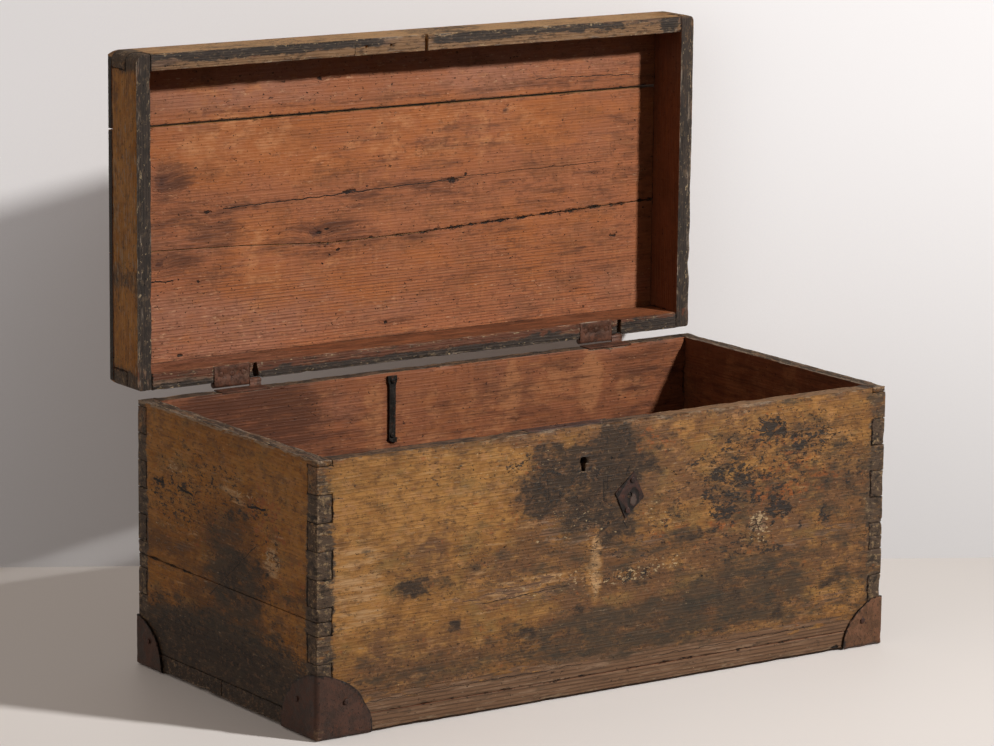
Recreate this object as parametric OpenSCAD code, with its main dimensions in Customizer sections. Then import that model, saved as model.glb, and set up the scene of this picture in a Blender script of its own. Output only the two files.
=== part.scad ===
// Plank chest with box-jointed corners, a sawn-off case lid on two butt hinges,
// four folded iron corner caps that it stands on, and a box lock let into the front.
// The lid is drawn standing open at its stop. X runs along the front, Y to the back, Z up.

/* [Chest] */
// Width of the chest over its boards
chest_w = 800; // [640:10:1000]
// Depth of the chest over its boards
chest_d = 395; // [330:5:480]
// Thickness of the wall boards and of the lid's rails
wall_t = 20; // [18:1:26]
// Thickness of the bottom boards
bottom_t = 20; // [16:1:28]
// Width of the front one of the two bottom boards
bottom_front_w = 205; // [150:5:260]
// Height over the floor of the seam between the two boards of each side wall
side_seam_z = 135; // [100:1:170]

/* [Corner joints] */
// Height of one finger
finger_h = 32; // [26:1:38]
// Fingers on a corner, below the one that was sawn through
finger_count = 9; // [7:2:11]
// What the saw left of that finger on the chest
sawn_finger_h = 7; // [4:1:14]

/* [Lid] */
// What the saw left of the sawn finger on the lid
lid_sawn_finger_h = 25; // [18:1:30]
// Thickness of the lid's planks
plank_t = 16; // [13:1:22]
// Width of the front plank
front_plank_w = 92; // [70:1:120]
// Width of the rear plank
rear_plank_w = 152; // [110:1:180]
// Open seam behind the front plank
front_seam = 3; // [1:0.5:5]
// Seam in front of the rear plank
rear_seam = 1; // [0.5:0.5:3]
// Rounding of the lid's front and back edges
lid_edge_r = 20; // [8:1:24]
// Rounding of the lid's ends
lid_end_r = 11; // [4:1:12]
// Gap between the chest's rim and the closed lid
lid_gap = 1; // [0.6:0.1:1.6]

/* [Hinges] */
// Distance from the chest's end to a hinge
hinge_inset = 104; // [80:1:150]
// Length of a hinge
hinge_len = 64; // [60:1:100]
// Length of the lid's leaf and knuckle
lid_knuckle_len = 48; // [36:1:50]
// Gap between the two knuckles
knuckle_gap = 0.8; // [0.4:0.1:1.5]
// Thickness of the leaves
leaf_t = 2; // [1.6:0.1:2.6]
// Outer radius of the knuckles
knuckle_r = 4; // [3.6:0.1:5]
// Radius of the pins
pin_r = 2; // [1.5:0.1:2.4]
// Distance from the chest's back face to the pins' axis
pin_out = 3; // [1.5:0.5:6]

/* [Corner caps] */
// Reach of the front left cap's leaves
big_cap_r = 73; // [60:1:90]
// Reach of the other caps' leaves
cap_r = 58; // [45:1:80]
// Reach of the caps' soles under the bottom boards
sole_r = 46; // [35:1:60]
// Thickness of the caps' sheet iron
cap_t = 3; // [2.5:0.5:5]
// Rounding of the caps' folds
fold_r = 6; // [3:0.5:6.5]

/* [Lock] */
// Offset of the lock's middle from the chest's middle
lock_x = -62; // [-90:1:-50]
// Width of the lock's case
lock_w = 105; // [95:1:120]
// Height of the lock's case
lock_h = 80; // [70:1:95]
// Wood left in front of the lock
lock_skin_t = 7.5; // [6:0.5:9]
// Thickness of the lock's sheet iron
lock_sheet_t = 1.5; // [1:0.1:2]
// Width of the flanges on the lock's cover
lock_flange_w = 12; // [10:1:18]
// Offset of the keyhole from the lock's middle
key_x = 20; // [10:1:30]
// Depth of the keyhole's barrel under the rim
key_drop = 41; // [38:1:48]
// Radius of the keyhole's barrel
key_r = 4.8; // [4:0.1:6]
// Width of the keyhole's slot
key_slot_w = 5; // [4.5:0.1:7]
// Length of the keyhole's slot, from the middle of its barrel
key_slot_h = 12; // [9:1:16]
// Width and height of the bolt
bolt_h = 12; // [8:1:14]
// Length of the bolt
bolt_len = 38; // [30:1:42]
// Travel of the bolt
bolt_throw = 26; // [20:1:28]

/* [Iron plates] */
// Width across the diamond plate on the front
diamond_w = 42; // [30:1:55]
// Height across the diamond plate
diamond_h = 55; // [40:1:70]
// Lean of the diamond plate, in degrees
diamond_lean = 12; // [0:1:20]
// Offset of the diamond plate's middle from the chest's middle
diamond_x = 23; // [15:1:60]
// Depth of the diamond plate's middle under the rim
diamond_drop = 88; // [75:1:110]
// Thickness of the diamond plate
diamond_t = 1.5; // [1:0.1:2.5]
// Offset of the strap on the back wall from the chest's middle
strap_x = -60; // [-100:1:-30]
// Length of the strap
strap_len = 82; // [60:1:100]
// Width of the strap
strap_w = 9; // [8:0.5:12]
// Thickness of the strap
strap_t = 3; // [2:0.5:4]

/* [Nails] */
// Radius of the nails' shanks
nail_r = 1.4; // [1:0.1:1.8]
// Radius of the nails' heads
nail_head_r = 3.2; // [2.6:0.1:3.8]
// Thickness of the nails' heads
nail_head_t = 1; // [0.6:0.1:1.4]
// Nails along each long edge of the lid and of the bottom
long_nails = 6; // [4:1:9]

/* [Hidden] */
$fn = 48;

// Heights of the chest
walls_z = cap_t + bottom_t;
rim_z = walls_z + finger_count * finger_h + sawn_finger_h;

// The lid, closed
lid_z = rim_z + lid_gap;
rail_h = lid_sawn_finger_h + finger_h;
plank_z = lid_z + rail_h;
lid_h = rail_h + plank_t;

// The hinge pin's axis: the lid's leaf is tangent to its knuckle
pin_y = chest_d + pin_out;
pin_z = lid_z + knuckle_r;
pin_play = 0.05;
open_angle = 90;

// The open lid's back sets the depth of the whole, and the origin is midway
open_back_y = pin_y - knuckle_r + lid_h;
cap_nail_head_h = 1.5;
mid_y = (open_back_y - cap_t - cap_nail_head_h) / 2;

// Play round pieces that are let into wood
seat_play = 0.3;
nail_play = 0.1;
// A cut runs past the face that it opens
past = 1;

// Hinge leaves
leaf_depth = wall_t - past;
chest_knuckle_len = hinge_len - lid_knuckle_len - knuckle_gap;
neck_y = pin_y - knuckle_r;
knuckle_room = 0.5;
pin_head_r = pin_r + 0.8;
pin_head_t = 1.2;
pin_end_play = 0.2;
chase_deep = 6;
chase_slot_w = 5.5;
leaf_nail_len = 15;
chest_leaf_nail_xs = [10, hinge_len / 2, hinge_len - 10];
lid_leaf_nail_xs = [9, lid_knuckle_len / 2, lid_knuckle_len - 8];

// Lock, from the mortise's face inwards
lock_y = lock_skin_t + seat_play;
lock_case_t = wall_t - lock_y;
lock_cover_t = 2;
lock_nail_len = 12;
staple_slot_w = 20;
staple_slot_t = 5;
staple_x = lock_x - 6;
bolt_play = 0.3;
bolt_tip_x = staple_x + staple_slot_w / 2 + 2;
bolt_drop = 30;
bolt_z = rim_z - bolt_drop;
shelf_t = 3;
talon_w = 8;
talon_h = 4;

// Bare seat of the lost catch in the lid's front rail
catch_x = lock_x + 13;
catch_w = 102;
catch_deep = 1.2;
catch_slit_w = 3;
catch_slit_deep = 9;
catch_hole_xs = [-36, -1];

// Plates and strap
diamond_hole_r = 3.5;
diamond_nail_len = 12;
strap_drop = 4;
strap_head_w = strap_w + 4;
strap_head_h = 12;
strap_nail_len = 14;
strap_foot = 6;

// Nails of the planks and boards
nail_bite = 24;
plank_nail_len = plank_t + nail_bite;
bottom_nail_len = bottom_t + nail_bite;
lid_nail_inset = wall_t * 0.7;
cap_nail_len = 16;
end_nail_inset = 30;
cap_clearance = 12;

WOOD = "#8a6436";
INNER_WOOD = "#7d4a2d";
RIM_WOOD = "#5d5148";
IRON = "#4a352b";

function spread(first, last, count) = [for (i = [0 : count - 1]) first + (last - first) * i / (count - 1)];

long_nail_xs = spread(-chest_w / 2 + end_nail_inset, chest_w / 2 - end_nail_inset, long_nails);
plank_ys = [
    [0, front_plank_w],
    [front_plank_w + front_seam, chest_d - rear_plank_w - rear_seam],
    [chest_d - rear_plank_w, chest_d]
];
end_nail_ys = concat(
    [plank_ys[0][1] - end_nail_inset / 2],
    [for (edge = [end_nail_inset / 2, -end_nail_inset / 2])
        edge > 0 ? plank_ys[1][0] + edge : plank_ys[1][1] + edge],
    [plank_ys[2][0] + end_nail_inset / 2]
);
bottom_end_ys = [big_cap_r + cap_clearance, bottom_front_w - end_nail_inset / 2,
    bottom_front_w + end_nail_inset / 2, chest_d - cap_r - cap_clearance];

// The rear plank's front edge wanders: places along it, and how far it gives way to the back
seam_places = [-1.01, -0.55, -0.25, 0.1, 0.3, 0.6, 1.01];
seam_sway = [-3, 3, 10, 8, 4, 0, -5];

// Places a piece of the chest in the frame of the whole
module on_chest() translate([0, -mid_y, 0]) children();

// Places a piece of the lid, drawn closed, where the open lid holds it
module on_lid()
    on_chest()
        translate([0, pin_y, pin_z]) rotate([-open_angle, 0, 0]) translate([0, -pin_y, -pin_z])
            children();

// A nail with its head's underside at the origin and its shank down the Z axis
module nail(length) {
    cylinder(h = nail_head_t, r = nail_head_r);
    translate([0, 0, -length]) cylinder(h = length, r = nail_r);
}

// The hole for a nail, with a seat that takes the head flush
module nail_hole(length, sunk = true, above = past) {
    translate([0, 0, -length - nail_play]) cylinder(h = length + nail_play + past, r = nail_r + nail_play);
    if (sunk) cylinder(h = nail_head_t + above, r = nail_head_r + nail_play);
}

// The same nail standing on a surface
module cap_nail(length) {
    cylinder(h = cap_nail_head_h, r = nail_head_r);
    translate([0, 0, -length]) cylinder(h = length, r = nail_r);
}

// Corner joints

// Heights of the front and back boards' fingers, from the bottom up
function long_finger_zs() = [for (i = [0 : 2 : finger_count - 1]) walls_z + i * finger_h];
// Heights of the side boards' fingers
function side_finger_zs() = [for (i = [1 : 2 : finger_count - 1]) walls_z + i * finger_h];

// A long board, from its outer face at y = 0 inwards, with its fingers at both ends
module long_board() {
    difference() {
        translate([-chest_w / 2, 0, walls_z]) cube([chest_w, wall_t, rim_z - walls_z]);
        for (side = [-1, 1]) {
            for (z = side_finger_zs()) end_notch(side, z, finger_h);
            end_notch(side, rim_z - sawn_finger_h, sawn_finger_h + past);
        }
    }
}

// A notch in a long board's end, for one finger of a side board
module end_notch(side, z, h) {
    translate([side * (chest_w / 2 - wall_t / 2 + past / 2), wall_t / 2, z + h / 2])
        cube([wall_t + past, wall_t + 2 * past, h], center = true);
}

// A side board between two heights, its outer face at x = 0, with fingers front and back
module side_board(low, high) {
    difference() {
        translate([0, 0, low]) cube([wall_t, chest_d, high - low]);
        for (z = long_finger_zs())
            for (y = [-past, chest_d - wall_t])
                translate([-past, y, z]) cube([wall_t + 2 * past, wall_t + past, finger_h]);
    }
}

module left_side(low, high) translate([-chest_w / 2, 0, 0]) side_board(low, high);
module right_side(low, high) mirror([1, 0, 0]) left_side(low, high);

// Chest

module front_wall() {
    color(WOOD) on_chest() difference() {
        long_board();
        lock_mortise();
        keyhole_cut(-past, lock_skin_t + 2 * past);
        bottom_nail_holes();
        cap_nail_holes();
        lock_nail_holes();
        diamond_nail_holes();
    }
}

module back_wall() {
    color(INNER_WOOD) on_chest() difference() {
        translate([0, chest_d, 0]) mirror([0, 1, 0]) long_board();
        for (x = hinge_starts()) chest_leaf_seat(x);
        chest_leaf_nail_holes();
        strap_nail_holes();
        bottom_nail_holes();
        cap_nail_holes();
    }
}

module side_wall_cuts() {
    bottom_nail_holes();
    cap_nail_holes();
}

module left_wall_upper() color(WOOD) on_chest() difference() {
    left_side(side_seam_z, rim_z);
    side_wall_cuts();
}
module left_wall_lower() color(WOOD) on_chest() difference() {
    left_side(walls_z, side_seam_z);
    side_wall_cuts();
}
module right_wall_upper() color(WOOD) on_chest() difference() {
    right_side(side_seam_z, rim_z);
    side_wall_cuts();
}
module right_wall_lower() color(WOOD) on_chest() difference() {
    right_side(walls_z, side_seam_z);
    side_wall_cuts();
}

module bottom_board(y0, y1) color(INNER_WOOD) on_chest() difference() {
    translate([-chest_w / 2, y0, cap_t]) cube([chest_w, y1 - y0, bottom_t]);
    bottom_nail_holes();
    cap_nail_holes();
}
module bottom_board_front() bottom_board(0, bottom_front_w);
module bottom_board_rear() bottom_board(bottom_front_w, chest_d);

// Places one bottom nail's frame at each of its nails, pointing up into the walls
module at_bottom_nails() {
    for (x = long_nail_xs)
        for (y = [wall_t / 2, chest_d - wall_t / 2])
            if (abs(x) < chest_w / 2 - big_cap_r)
                translate([x, y, cap_t]) rotate([180, 0, 0]) children();
    for (side = [-1, 1])
        for (y = bottom_end_ys)
            translate([side * (chest_w / 2 - wall_t / 2), y, cap_t]) rotate([180, 0, 0]) children();
}
module bottom_nail_holes() at_bottom_nails() translate([0, 0, -nail_head_t]) nail_hole(bottom_nail_len);
module bottom_nails() color(IRON) on_chest()
    at_bottom_nails() translate([0, 0, -nail_head_t]) nail(bottom_nail_len);

// Corner caps

// A square with one rounded corner at the origin
module round_cornered(size, r) {
    translate([r, 0]) square([size - r, size]);
    translate([0, r]) square([size, size - r]);
    translate([r, r]) circle(r = r);
}

// A folded cap for the corner at the origin, wood towards +X, +Y and +Z from (cap_t, cap_t, cap_t)
module cap(reach) {
    size = reach + cap_t;
    difference() {
        intersection() {
            linear_extrude(size) round_cornered(size, fold_r);
            translate([0, size, 0]) rotate([90, 0, 0]) linear_extrude(size) round_cornered(size, fold_r);
            rotate([90, 0, 90]) linear_extrude(size) round_cornered(size, fold_r);
            union() {
                rotate([-90, 0, 0]) cylinder(h = cap_t, r = size, $fn = 96);
                rotate([0, 90, 0]) cylinder(h = cap_t, r = size, $fn = 96);
                cylinder(h = cap_t, r = sole_r + cap_t, $fn = 96);
            }
        }
        translate([cap_t, cap_t, cap_t]) cube(size);
    }
}

// Moves the cap's corner to one corner of the chest: x and y are -1 or 1
module to_corner(x, y)
    translate([x * (chest_w / 2 + cap_t), y < 0 ? -cap_t : chest_d + cap_t, 0])
        mirror([x > 0 ? 1 : 0, 0, 0]) mirror([0, y > 0 ? 1 : 0, 0])
            children();

function reach_at(x, y) = x < 0 && y < 0 ? big_cap_r : cap_r;

// Places the cap nails of one corner: one nail through each leaf
module at_cap_nails(x, y) {
    reach = reach_at(x, y);
    to_corner(x, y) {
        translate([cap_t + reach / 2, 0, cap_t + reach * 0.53]) rotate([90, 0, 0]) children();
        translate([0, cap_t + reach / 2, cap_t + reach * 0.53]) rotate([0, -90, 0]) children();
    }
}
module cap_nail_holes()
    for (x = [-1, 1])
        for (y = [-1, 1])
            at_cap_nails(x, y) nail_hole(cap_nail_len, false);

module cap_at(x, y) color(IRON) on_chest() difference() {
    to_corner(x, y) cap(reach_at(x, y));
    cap_nail_holes();
}
module cap_front_left() cap_at(-1, -1);
module cap_front_right() cap_at(1, -1);
module cap_back_left() cap_at(-1, 1);
module cap_back_right() cap_at(1, 1);
module cap_nails() color(IRON) on_chest()
    for (x = [-1, 1])
        for (y = [-1, 1])
            at_cap_nails(x, y) cap_nail(cap_nail_len);

// Lock

module lock_mortise()
    translate([lock_x - lock_w / 2 - seat_play, lock_skin_t, rim_z - lock_h - seat_play])
        cube([lock_w + 2 * seat_play, wall_t, lock_h + wall_t]);

// The keyhole, cut from one depth over a length
module keyhole_cut(y, length)
    translate([lock_x + key_x, y + length, rim_z - key_drop]) rotate([90, 0, 0]) {
        cylinder(h = length, r = key_r);
        translate([-key_slot_w / 2, -key_slot_h, 0]) cube([key_slot_w, key_slot_h, length]);
    }

module lock_case() color(IRON) on_chest() difference() {
    left = lock_x - lock_w / 2;
    low_z = rim_z - lock_h;
    slot_y = lock_y + lock_case_t / 2 - staple_slot_t / 2;
    union() {
        difference() {
            translate([left, lock_y, low_z]) cube([lock_w, lock_case_t, lock_h]);
            translate([left + lock_sheet_t, lock_y + lock_sheet_t, low_z + lock_sheet_t])
                cube([lock_w - 2 * lock_sheet_t, lock_case_t, lock_h - 2 * lock_sheet_t]);
        }
        bolt_shelves();
    }
    keyhole_cut(0, lock_y + lock_sheet_t + past);
    translate([staple_x - staple_slot_w / 2, slot_y, rim_z - lock_sheet_t - past])
        cube([staple_slot_w, staple_slot_t, lock_sheet_t + 2 * past]);
}

// A shelf inside the case between two places along it
module shelf(x0, x1, z)
    translate([x0, lock_y + lock_sheet_t / 2, z]) cube([x1 - x0, lock_case_t - lock_sheet_t, shelf_t]);

// Shelves inside the case that the bolt slides between
module bolt_shelves() {
    left = lock_x - lock_w / 2 + lock_sheet_t / 2;
    right = lock_x + lock_w / 2 - lock_sheet_t / 2;
    key_right = lock_x + key_x + key_r + past;
    shelf(left, bolt_tip_x, bolt_z - bolt_play - shelf_t);
    shelf(key_right, right, bolt_z - bolt_play - shelf_t);
    shelf(bolt_tip_x, right, bolt_z + bolt_h + bolt_play);
}

module lock_bolt() color(IRON) on_chest() difference() {
    translate([bolt_tip_x, lock_y + lock_sheet_t + bolt_play, bolt_z])
        cube([bolt_len, lock_case_t - lock_sheet_t - 2 * bolt_play, bolt_h]);
    translate([bolt_tip_x + bolt_len - 2 * talon_w, 0, bolt_z - past])
        cube([talon_w, wall_t + past, talon_h + past]);
}

module lock_cover() color(IRON) on_chest() difference() {
    translate([lock_x - lock_w / 2 - lock_flange_w, wall_t, rim_z - lock_h - lock_flange_w])
        cube([lock_w + 2 * lock_flange_w, lock_cover_t, lock_h + lock_flange_w]);
    lock_nail_holes();
}

module at_lock_nails()
    for (side = [-1, 1])
        for (z = [rim_z - lock_h, rim_z - lock_flange_w])
            translate([lock_x + side * (lock_w + lock_flange_w) / 2, wall_t + lock_cover_t, z])
                rotate([-90, 0, 0]) children();
module lock_nail_holes() at_lock_nails() nail_hole(lock_nail_len, false);
module lock_nails() color(IRON) on_chest() at_lock_nails() cap_nail(lock_nail_len);

// Plates nailed to the boards

module at_diamond()
    translate([diamond_x, 0, rim_z - diamond_drop])
        rotate([90, 0, 0]) rotate([0, 0, -diamond_lean])
            children();

module diamond_plate() color(IRON) on_chest() difference() {
    at_diamond() linear_extrude(diamond_t) difference() {
        polygon([[-diamond_w / 2, 0], [0, -diamond_h / 2], [diamond_w / 2, 0], [0, diamond_h / 2]]);
        circle(r = diamond_hole_r);
    }
    diamond_nail_holes();
}
module at_diamond_nails()
    at_diamond()
        for (up = [-1, 1])
            translate([0, up * (diamond_h / 2 - 3 * nail_head_r), diamond_t]) children();
module diamond_nail_holes() at_diamond_nails() nail_hole(diamond_nail_len, false);
module diamond_nails() color(IRON) on_chest() at_diamond_nails() cap_nail(diamond_nail_len);

module back_strap() {
    top = rim_z - strap_drop;
    foot = strap_len - strap_head_h;
    color("#231f1c") on_chest() difference() {
        translate([strap_x, chest_d - wall_t, top]) rotate([90, 0, 0]) linear_extrude(strap_t) polygon([
            [-strap_head_w / 2, 0], [-strap_head_w / 2, -strap_head_h / 2], [-strap_w / 2, -strap_head_h],
            [-strap_w / 2, -foot], [-strap_w / 2, -strap_len + strap_foot / 2], [0, -strap_len],
            [strap_w / 2 + 2, -strap_len], [strap_w / 2 + 2, -strap_len + strap_foot],
            [strap_w / 2, -strap_len + strap_foot], [strap_w / 2, -strap_head_h],
            [strap_head_w / 2, -strap_head_h / 2], [strap_head_w / 2, 0]
        ]);
        strap_nail_holes();
    }
}
module at_strap_nails()
    for (drop = [strap_drop + strap_head_h / 2, strap_drop + strap_len - strap_foot - nail_head_r])
        translate([strap_x, chest_d - wall_t - strap_t, rim_z - drop]) rotate([90, 0, 0]) children();
module strap_nail_holes() at_strap_nails() nail_hole(strap_nail_len, false);
module strap_nails() color(IRON) on_chest() at_strap_nails() cap_nail(strap_nail_len);

// Hinges

// Left ends of the two hinges
function hinge_starts() = [-chest_w / 2 + hinge_inset, chest_w / 2 - hinge_inset - hinge_len];

// Seat of the chest's leaf in the back wall's rim
module chest_leaf_seat(x)
    translate([x - seat_play, chest_d - wall_t - past, rim_z - leaf_t])
        cube([hinge_len + 2 * seat_play, wall_t + 2 * past, leaf_t + past]);

// A cylinder on the pins' axis
module along_pin(x, length, r) translate([x, pin_y, pin_z]) rotate([0, 90, 0]) cylinder(h = length, r = r);

// The leaf lies in the rim, turns up at the back and rolls round the pin
module chest_leaf(x) color(IRON) on_chest() {
    neck_x = x + lid_knuckle_len + knuckle_gap;
    difference() {
        union() {
            translate([x, chest_d - leaf_depth, rim_z - leaf_t]) cube([hinge_len, leaf_depth, leaf_t]);
            translate([neck_x, neck_y - leaf_t, rim_z - leaf_t])
                cube([chest_knuckle_len, 2 * leaf_t, leaf_t]);
            translate([neck_x, neck_y, rim_z - leaf_t])
                cube([chest_knuckle_len, leaf_t, pin_z - rim_z + leaf_t]);
            along_pin(neck_x, chest_knuckle_len, knuckle_r);
        }
        along_pin(x - past, hinge_len + 2 * past, pin_r + pin_play);
        chest_leaf_nail_holes();
    }
}
module chest_leaf_left() chest_leaf(hinge_starts()[0]);
module chest_leaf_right() chest_leaf(hinge_starts()[1]);

module at_chest_leaf_nails()
    for (x = hinge_starts())
        for (dx = chest_leaf_nail_xs)
            translate([x + dx, chest_d - leaf_depth / 2, rim_z - nail_head_t]) children();
module chest_leaf_nail_holes() at_chest_leaf_nails() nail_hole(leaf_nail_len);
module chest_leaf_nails() color(IRON) on_chest() at_chest_leaf_nails() nail(leaf_nail_len);

module hinge_pin(x) color(IRON) on_chest() {
    along_pin(x - pin_end_play, hinge_len + 2 * pin_end_play, pin_r);
    along_pin(x - pin_end_play - pin_head_t, pin_head_t, pin_head_r);
    along_pin(x + hinge_len + pin_end_play, pin_head_t, pin_head_r);
}
module hinge_pin_left() hinge_pin(hinge_starts()[0]);
module hinge_pin_right() hinge_pin(hinge_starts()[1]);

// Seat of the lid's leaf and room for the knuckles in the lid's back rail
module lid_leaf_seat(x) {
    end_room = knuckle_room + pin_head_t + pin_end_play;
    translate([x - seat_play, chest_d - wall_t - past, lid_z - past])
        cube([lid_knuckle_len + 2 * seat_play, wall_t + 2 * past, leaf_t + past]);
    translate([x - end_room, neck_y - knuckle_room, lid_z - past])
        cube([hinge_len + 2 * end_room, wall_t, 2 * knuckle_r + knuckle_room + past]);
}

// What was cut too far for the chest's knuckles: a split out wedge and a saw slot
module knuckle_chases() {
    starts = hinge_starts();
    wedge_x = starts[0] + lid_knuckle_len + 1.5;
    wedge_w = hinge_len - lid_knuckle_len - 3;
    translate([wedge_x, chest_d + past, lid_z - past]) linear_extrude(chase_deep + past)
        polygon([[0, 0], [wedge_w, 0], [wedge_w * 0.6, -wall_t], [wedge_w * 0.4, -wall_t]]);
    translate([starts[1] + hinge_len - 1.5 - chase_slot_w, chest_d - wall_t + past, lid_z - past])
        cube([chase_slot_w, wall_t, chase_deep + past]);
}

module lid_leaf(x) color(IRON) on_lid() difference() {
    union() {
        translate([x, chest_d - leaf_depth, lid_z])
            cube([lid_knuckle_len, pin_y - chest_d + leaf_depth, leaf_t]);
        along_pin(x, lid_knuckle_len, knuckle_r);
    }
    along_pin(x - past, lid_knuckle_len + 2 * past, pin_r + pin_play);
    lid_leaf_nail_holes();
}
module lid_leaf_left() lid_leaf(hinge_starts()[0]);
module lid_leaf_right() lid_leaf(hinge_starts()[1]);

module at_lid_leaf_nails()
    for (x = hinge_starts())
        for (dx = lid_leaf_nail_xs)
            translate([x + dx, chest_d - leaf_depth / 2, lid_z + nail_head_t]) rotate([180, 0, 0]) children();
module lid_leaf_nail_holes() at_lid_leaf_nails() nail_hole(leaf_nail_len);
module lid_leaf_nails() color(IRON) on_lid() at_lid_leaf_nails() nail(leaf_nail_len);

// Lid, drawn closed

// A long rail, from its outer face at y = 0 inwards
module long_rail() intersection() {
    lid_form();
    union() {
        translate([-chest_w / 2, 0, lid_z + lid_sawn_finger_h]) cube([chest_w, wall_t, finger_h]);
        translate([-chest_w / 2 + wall_t, 0, lid_z]) cube([chest_w - 2 * wall_t, wall_t, rail_h]);
    }
}

module lid_front_rail() color(RIM_WOOD) on_lid() difference() {
    long_rail();
    translate([catch_x - catch_w / 2, -past, lid_z - past])
        cube([catch_w, wall_t + 2 * past, catch_deep + past]);
    translate([catch_x + catch_w / 2 - catch_slit_w, -past, lid_z - past])
        cube([catch_slit_w, wall_t + 2 * past, catch_slit_deep + past]);
    for (x = catch_hole_xs)
        translate([catch_x + x, wall_t / 2, lid_z - past]) cylinder(h = catch_slit_deep, r = nail_r);
    lid_nail_holes();
}

module lid_back_rail() color(RIM_WOOD) on_lid() difference() {
    translate([0, chest_d, 0]) mirror([0, 1, 0]) long_rail();
    for (x = hinge_starts()) lid_leaf_seat(x);
    knuckle_chases();
    lid_leaf_nail_holes();
    lid_nail_holes();
}

module side_rail(x) color(RIM_WOOD) on_lid() difference() {
    intersection() {
        lid_form();
        union() {
            translate([x, 0, lid_z]) cube([wall_t, chest_d, lid_sawn_finger_h]);
            translate([x, wall_t, lid_z]) cube([wall_t, chest_d - 2 * wall_t, rail_h]);
        }
    }
    lid_nail_holes();
}
module lid_left_rail() side_rail(-chest_w / 2);
module lid_right_rail() side_rail(chest_w / 2 - wall_t);

// A section with its two upper corners rounded, standing on z = 0
module crowned(width, height, r) {
    square([width, height - r]);
    translate([r, 0]) square([width - 2 * r, height]);
    intersection() {
        square([width, height]);
        for (x = [r, width - r]) translate([x, height - r]) circle(r = r);
    }
}

// The whole lid as one block with its outer edges rounded, which its boards are cut from
module lid_form() intersection() {
    translate([-chest_w / 2, 0, lid_z]) rotate([90, 0, 90])
        linear_extrude(chest_w) crowned(chest_d, lid_h, lid_edge_r);
    translate([-chest_w / 2, chest_d, lid_z]) rotate([90, 0, 0])
        linear_extrude(chest_d) crowned(chest_w, lid_h, lid_end_r);
}

// The rear seam's wandering line, from the left end to the right
function seam_line(y) = [
    for (i = [0 : len(seam_places) - 1]) [seam_places[i] * chest_w / 2, y + seam_sway[i]]
];

module plank_outline(i) {
    left = -chest_w / 2 - past;
    right = chest_w / 2 + past;
    if (i == 0) translate([left, 0]) square([right - left, plank_ys[0][1]]);
    if (i == 1) polygon(concat([[right, plank_ys[1][0]], [left, plank_ys[1][0]]], seam_line(plank_ys[1][1])));
    if (i == 2) polygon(concat([[right, chest_d], [left, chest_d]], seam_line(plank_ys[2][0])));
}

module lid_plank(i) color(WOOD) on_lid() difference() {
    intersection() {
        lid_form();
        translate([0, 0, plank_z]) linear_extrude(plank_t + past) plank_outline(i);
    }
    lid_nail_holes();
}
module lid_plank_front() lid_plank(0);
module lid_plank_middle() lid_plank(1);
module lid_plank_rear() lid_plank(2);

// How far a rounded edge has dropped at a distance in from it
function edge_drop(distance, r) = distance < r ? r - sqrt(r * r - (r - distance) * (r - distance)) : 0;

module at_lid_nails() {
    top = plank_z + plank_t - nail_head_t;
    long_drop = edge_drop(lid_nail_inset - nail_head_r, lid_edge_r);
    end_drop = edge_drop(lid_nail_inset - nail_head_r, lid_end_r);
    for (x = long_nail_xs)
        for (y = [lid_nail_inset, chest_d - lid_nail_inset])
            translate([x, y, top - long_drop]) children();
    for (side = [-1, 1])
        for (y = end_nail_ys)
            translate([side * (chest_w / 2 - lid_nail_inset), y, top - end_drop]) children();
}
module lid_nail_holes() at_lid_nails() nail_hole(plank_nail_len, above = lid_edge_r);
module lid_nails() color(IRON) on_lid() at_lid_nails() nail(plank_nail_len);

front_wall();
back_wall();
left_wall_upper();
left_wall_lower();
right_wall_upper();
right_wall_lower();
bottom_board_front();
bottom_board_rear();
bottom_nails();
cap_front_left();
cap_front_right();
cap_back_left();
cap_back_right();
cap_nails();
lock_case();
lock_cover();
lock_bolt();
lock_nails();
diamond_plate();
diamond_nails();
back_strap();
strap_nails();
chest_leaf_left();
chest_leaf_right();
hinge_pin_left();
hinge_pin_right();
chest_leaf_nails();
lid_leaf_left();
lid_leaf_right();
lid_leaf_nails();
lid_front_rail();
lid_back_rail();
lid_left_rail();
lid_right_rail();
lid_plank_front();
lid_plank_middle();
lid_plank_rear();
lid_nails();
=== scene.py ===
"""Dresses an old pine plank chest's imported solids: worn boards, old paint, stain and rusty iron.

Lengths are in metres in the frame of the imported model, unless a name or comment says mm.
"""

import math

import bmesh
import bpy
import numpy as np
from bpy.props import FloatProperty, FloatVectorProperty, PointerProperty
from mathutils import Matrix, Vector, kdtree, noise


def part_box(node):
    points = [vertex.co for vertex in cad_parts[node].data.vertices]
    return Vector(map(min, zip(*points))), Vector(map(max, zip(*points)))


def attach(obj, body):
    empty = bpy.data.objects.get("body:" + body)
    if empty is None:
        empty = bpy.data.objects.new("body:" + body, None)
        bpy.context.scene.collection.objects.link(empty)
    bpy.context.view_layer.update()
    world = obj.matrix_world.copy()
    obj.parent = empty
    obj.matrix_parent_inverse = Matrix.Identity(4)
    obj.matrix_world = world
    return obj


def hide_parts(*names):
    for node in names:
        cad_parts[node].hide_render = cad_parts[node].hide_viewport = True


bl_info = {
    "name": "Plank Chest Finish",
    "version": (1, 0, 0),
    "blender": (4, 5, 0),
    "location": "View3D > Sidebar > Chest",
    "description": "Gives a packed pine chest its worn boards, paint, stain and rusty iron",
    "category": "Object",
}

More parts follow.
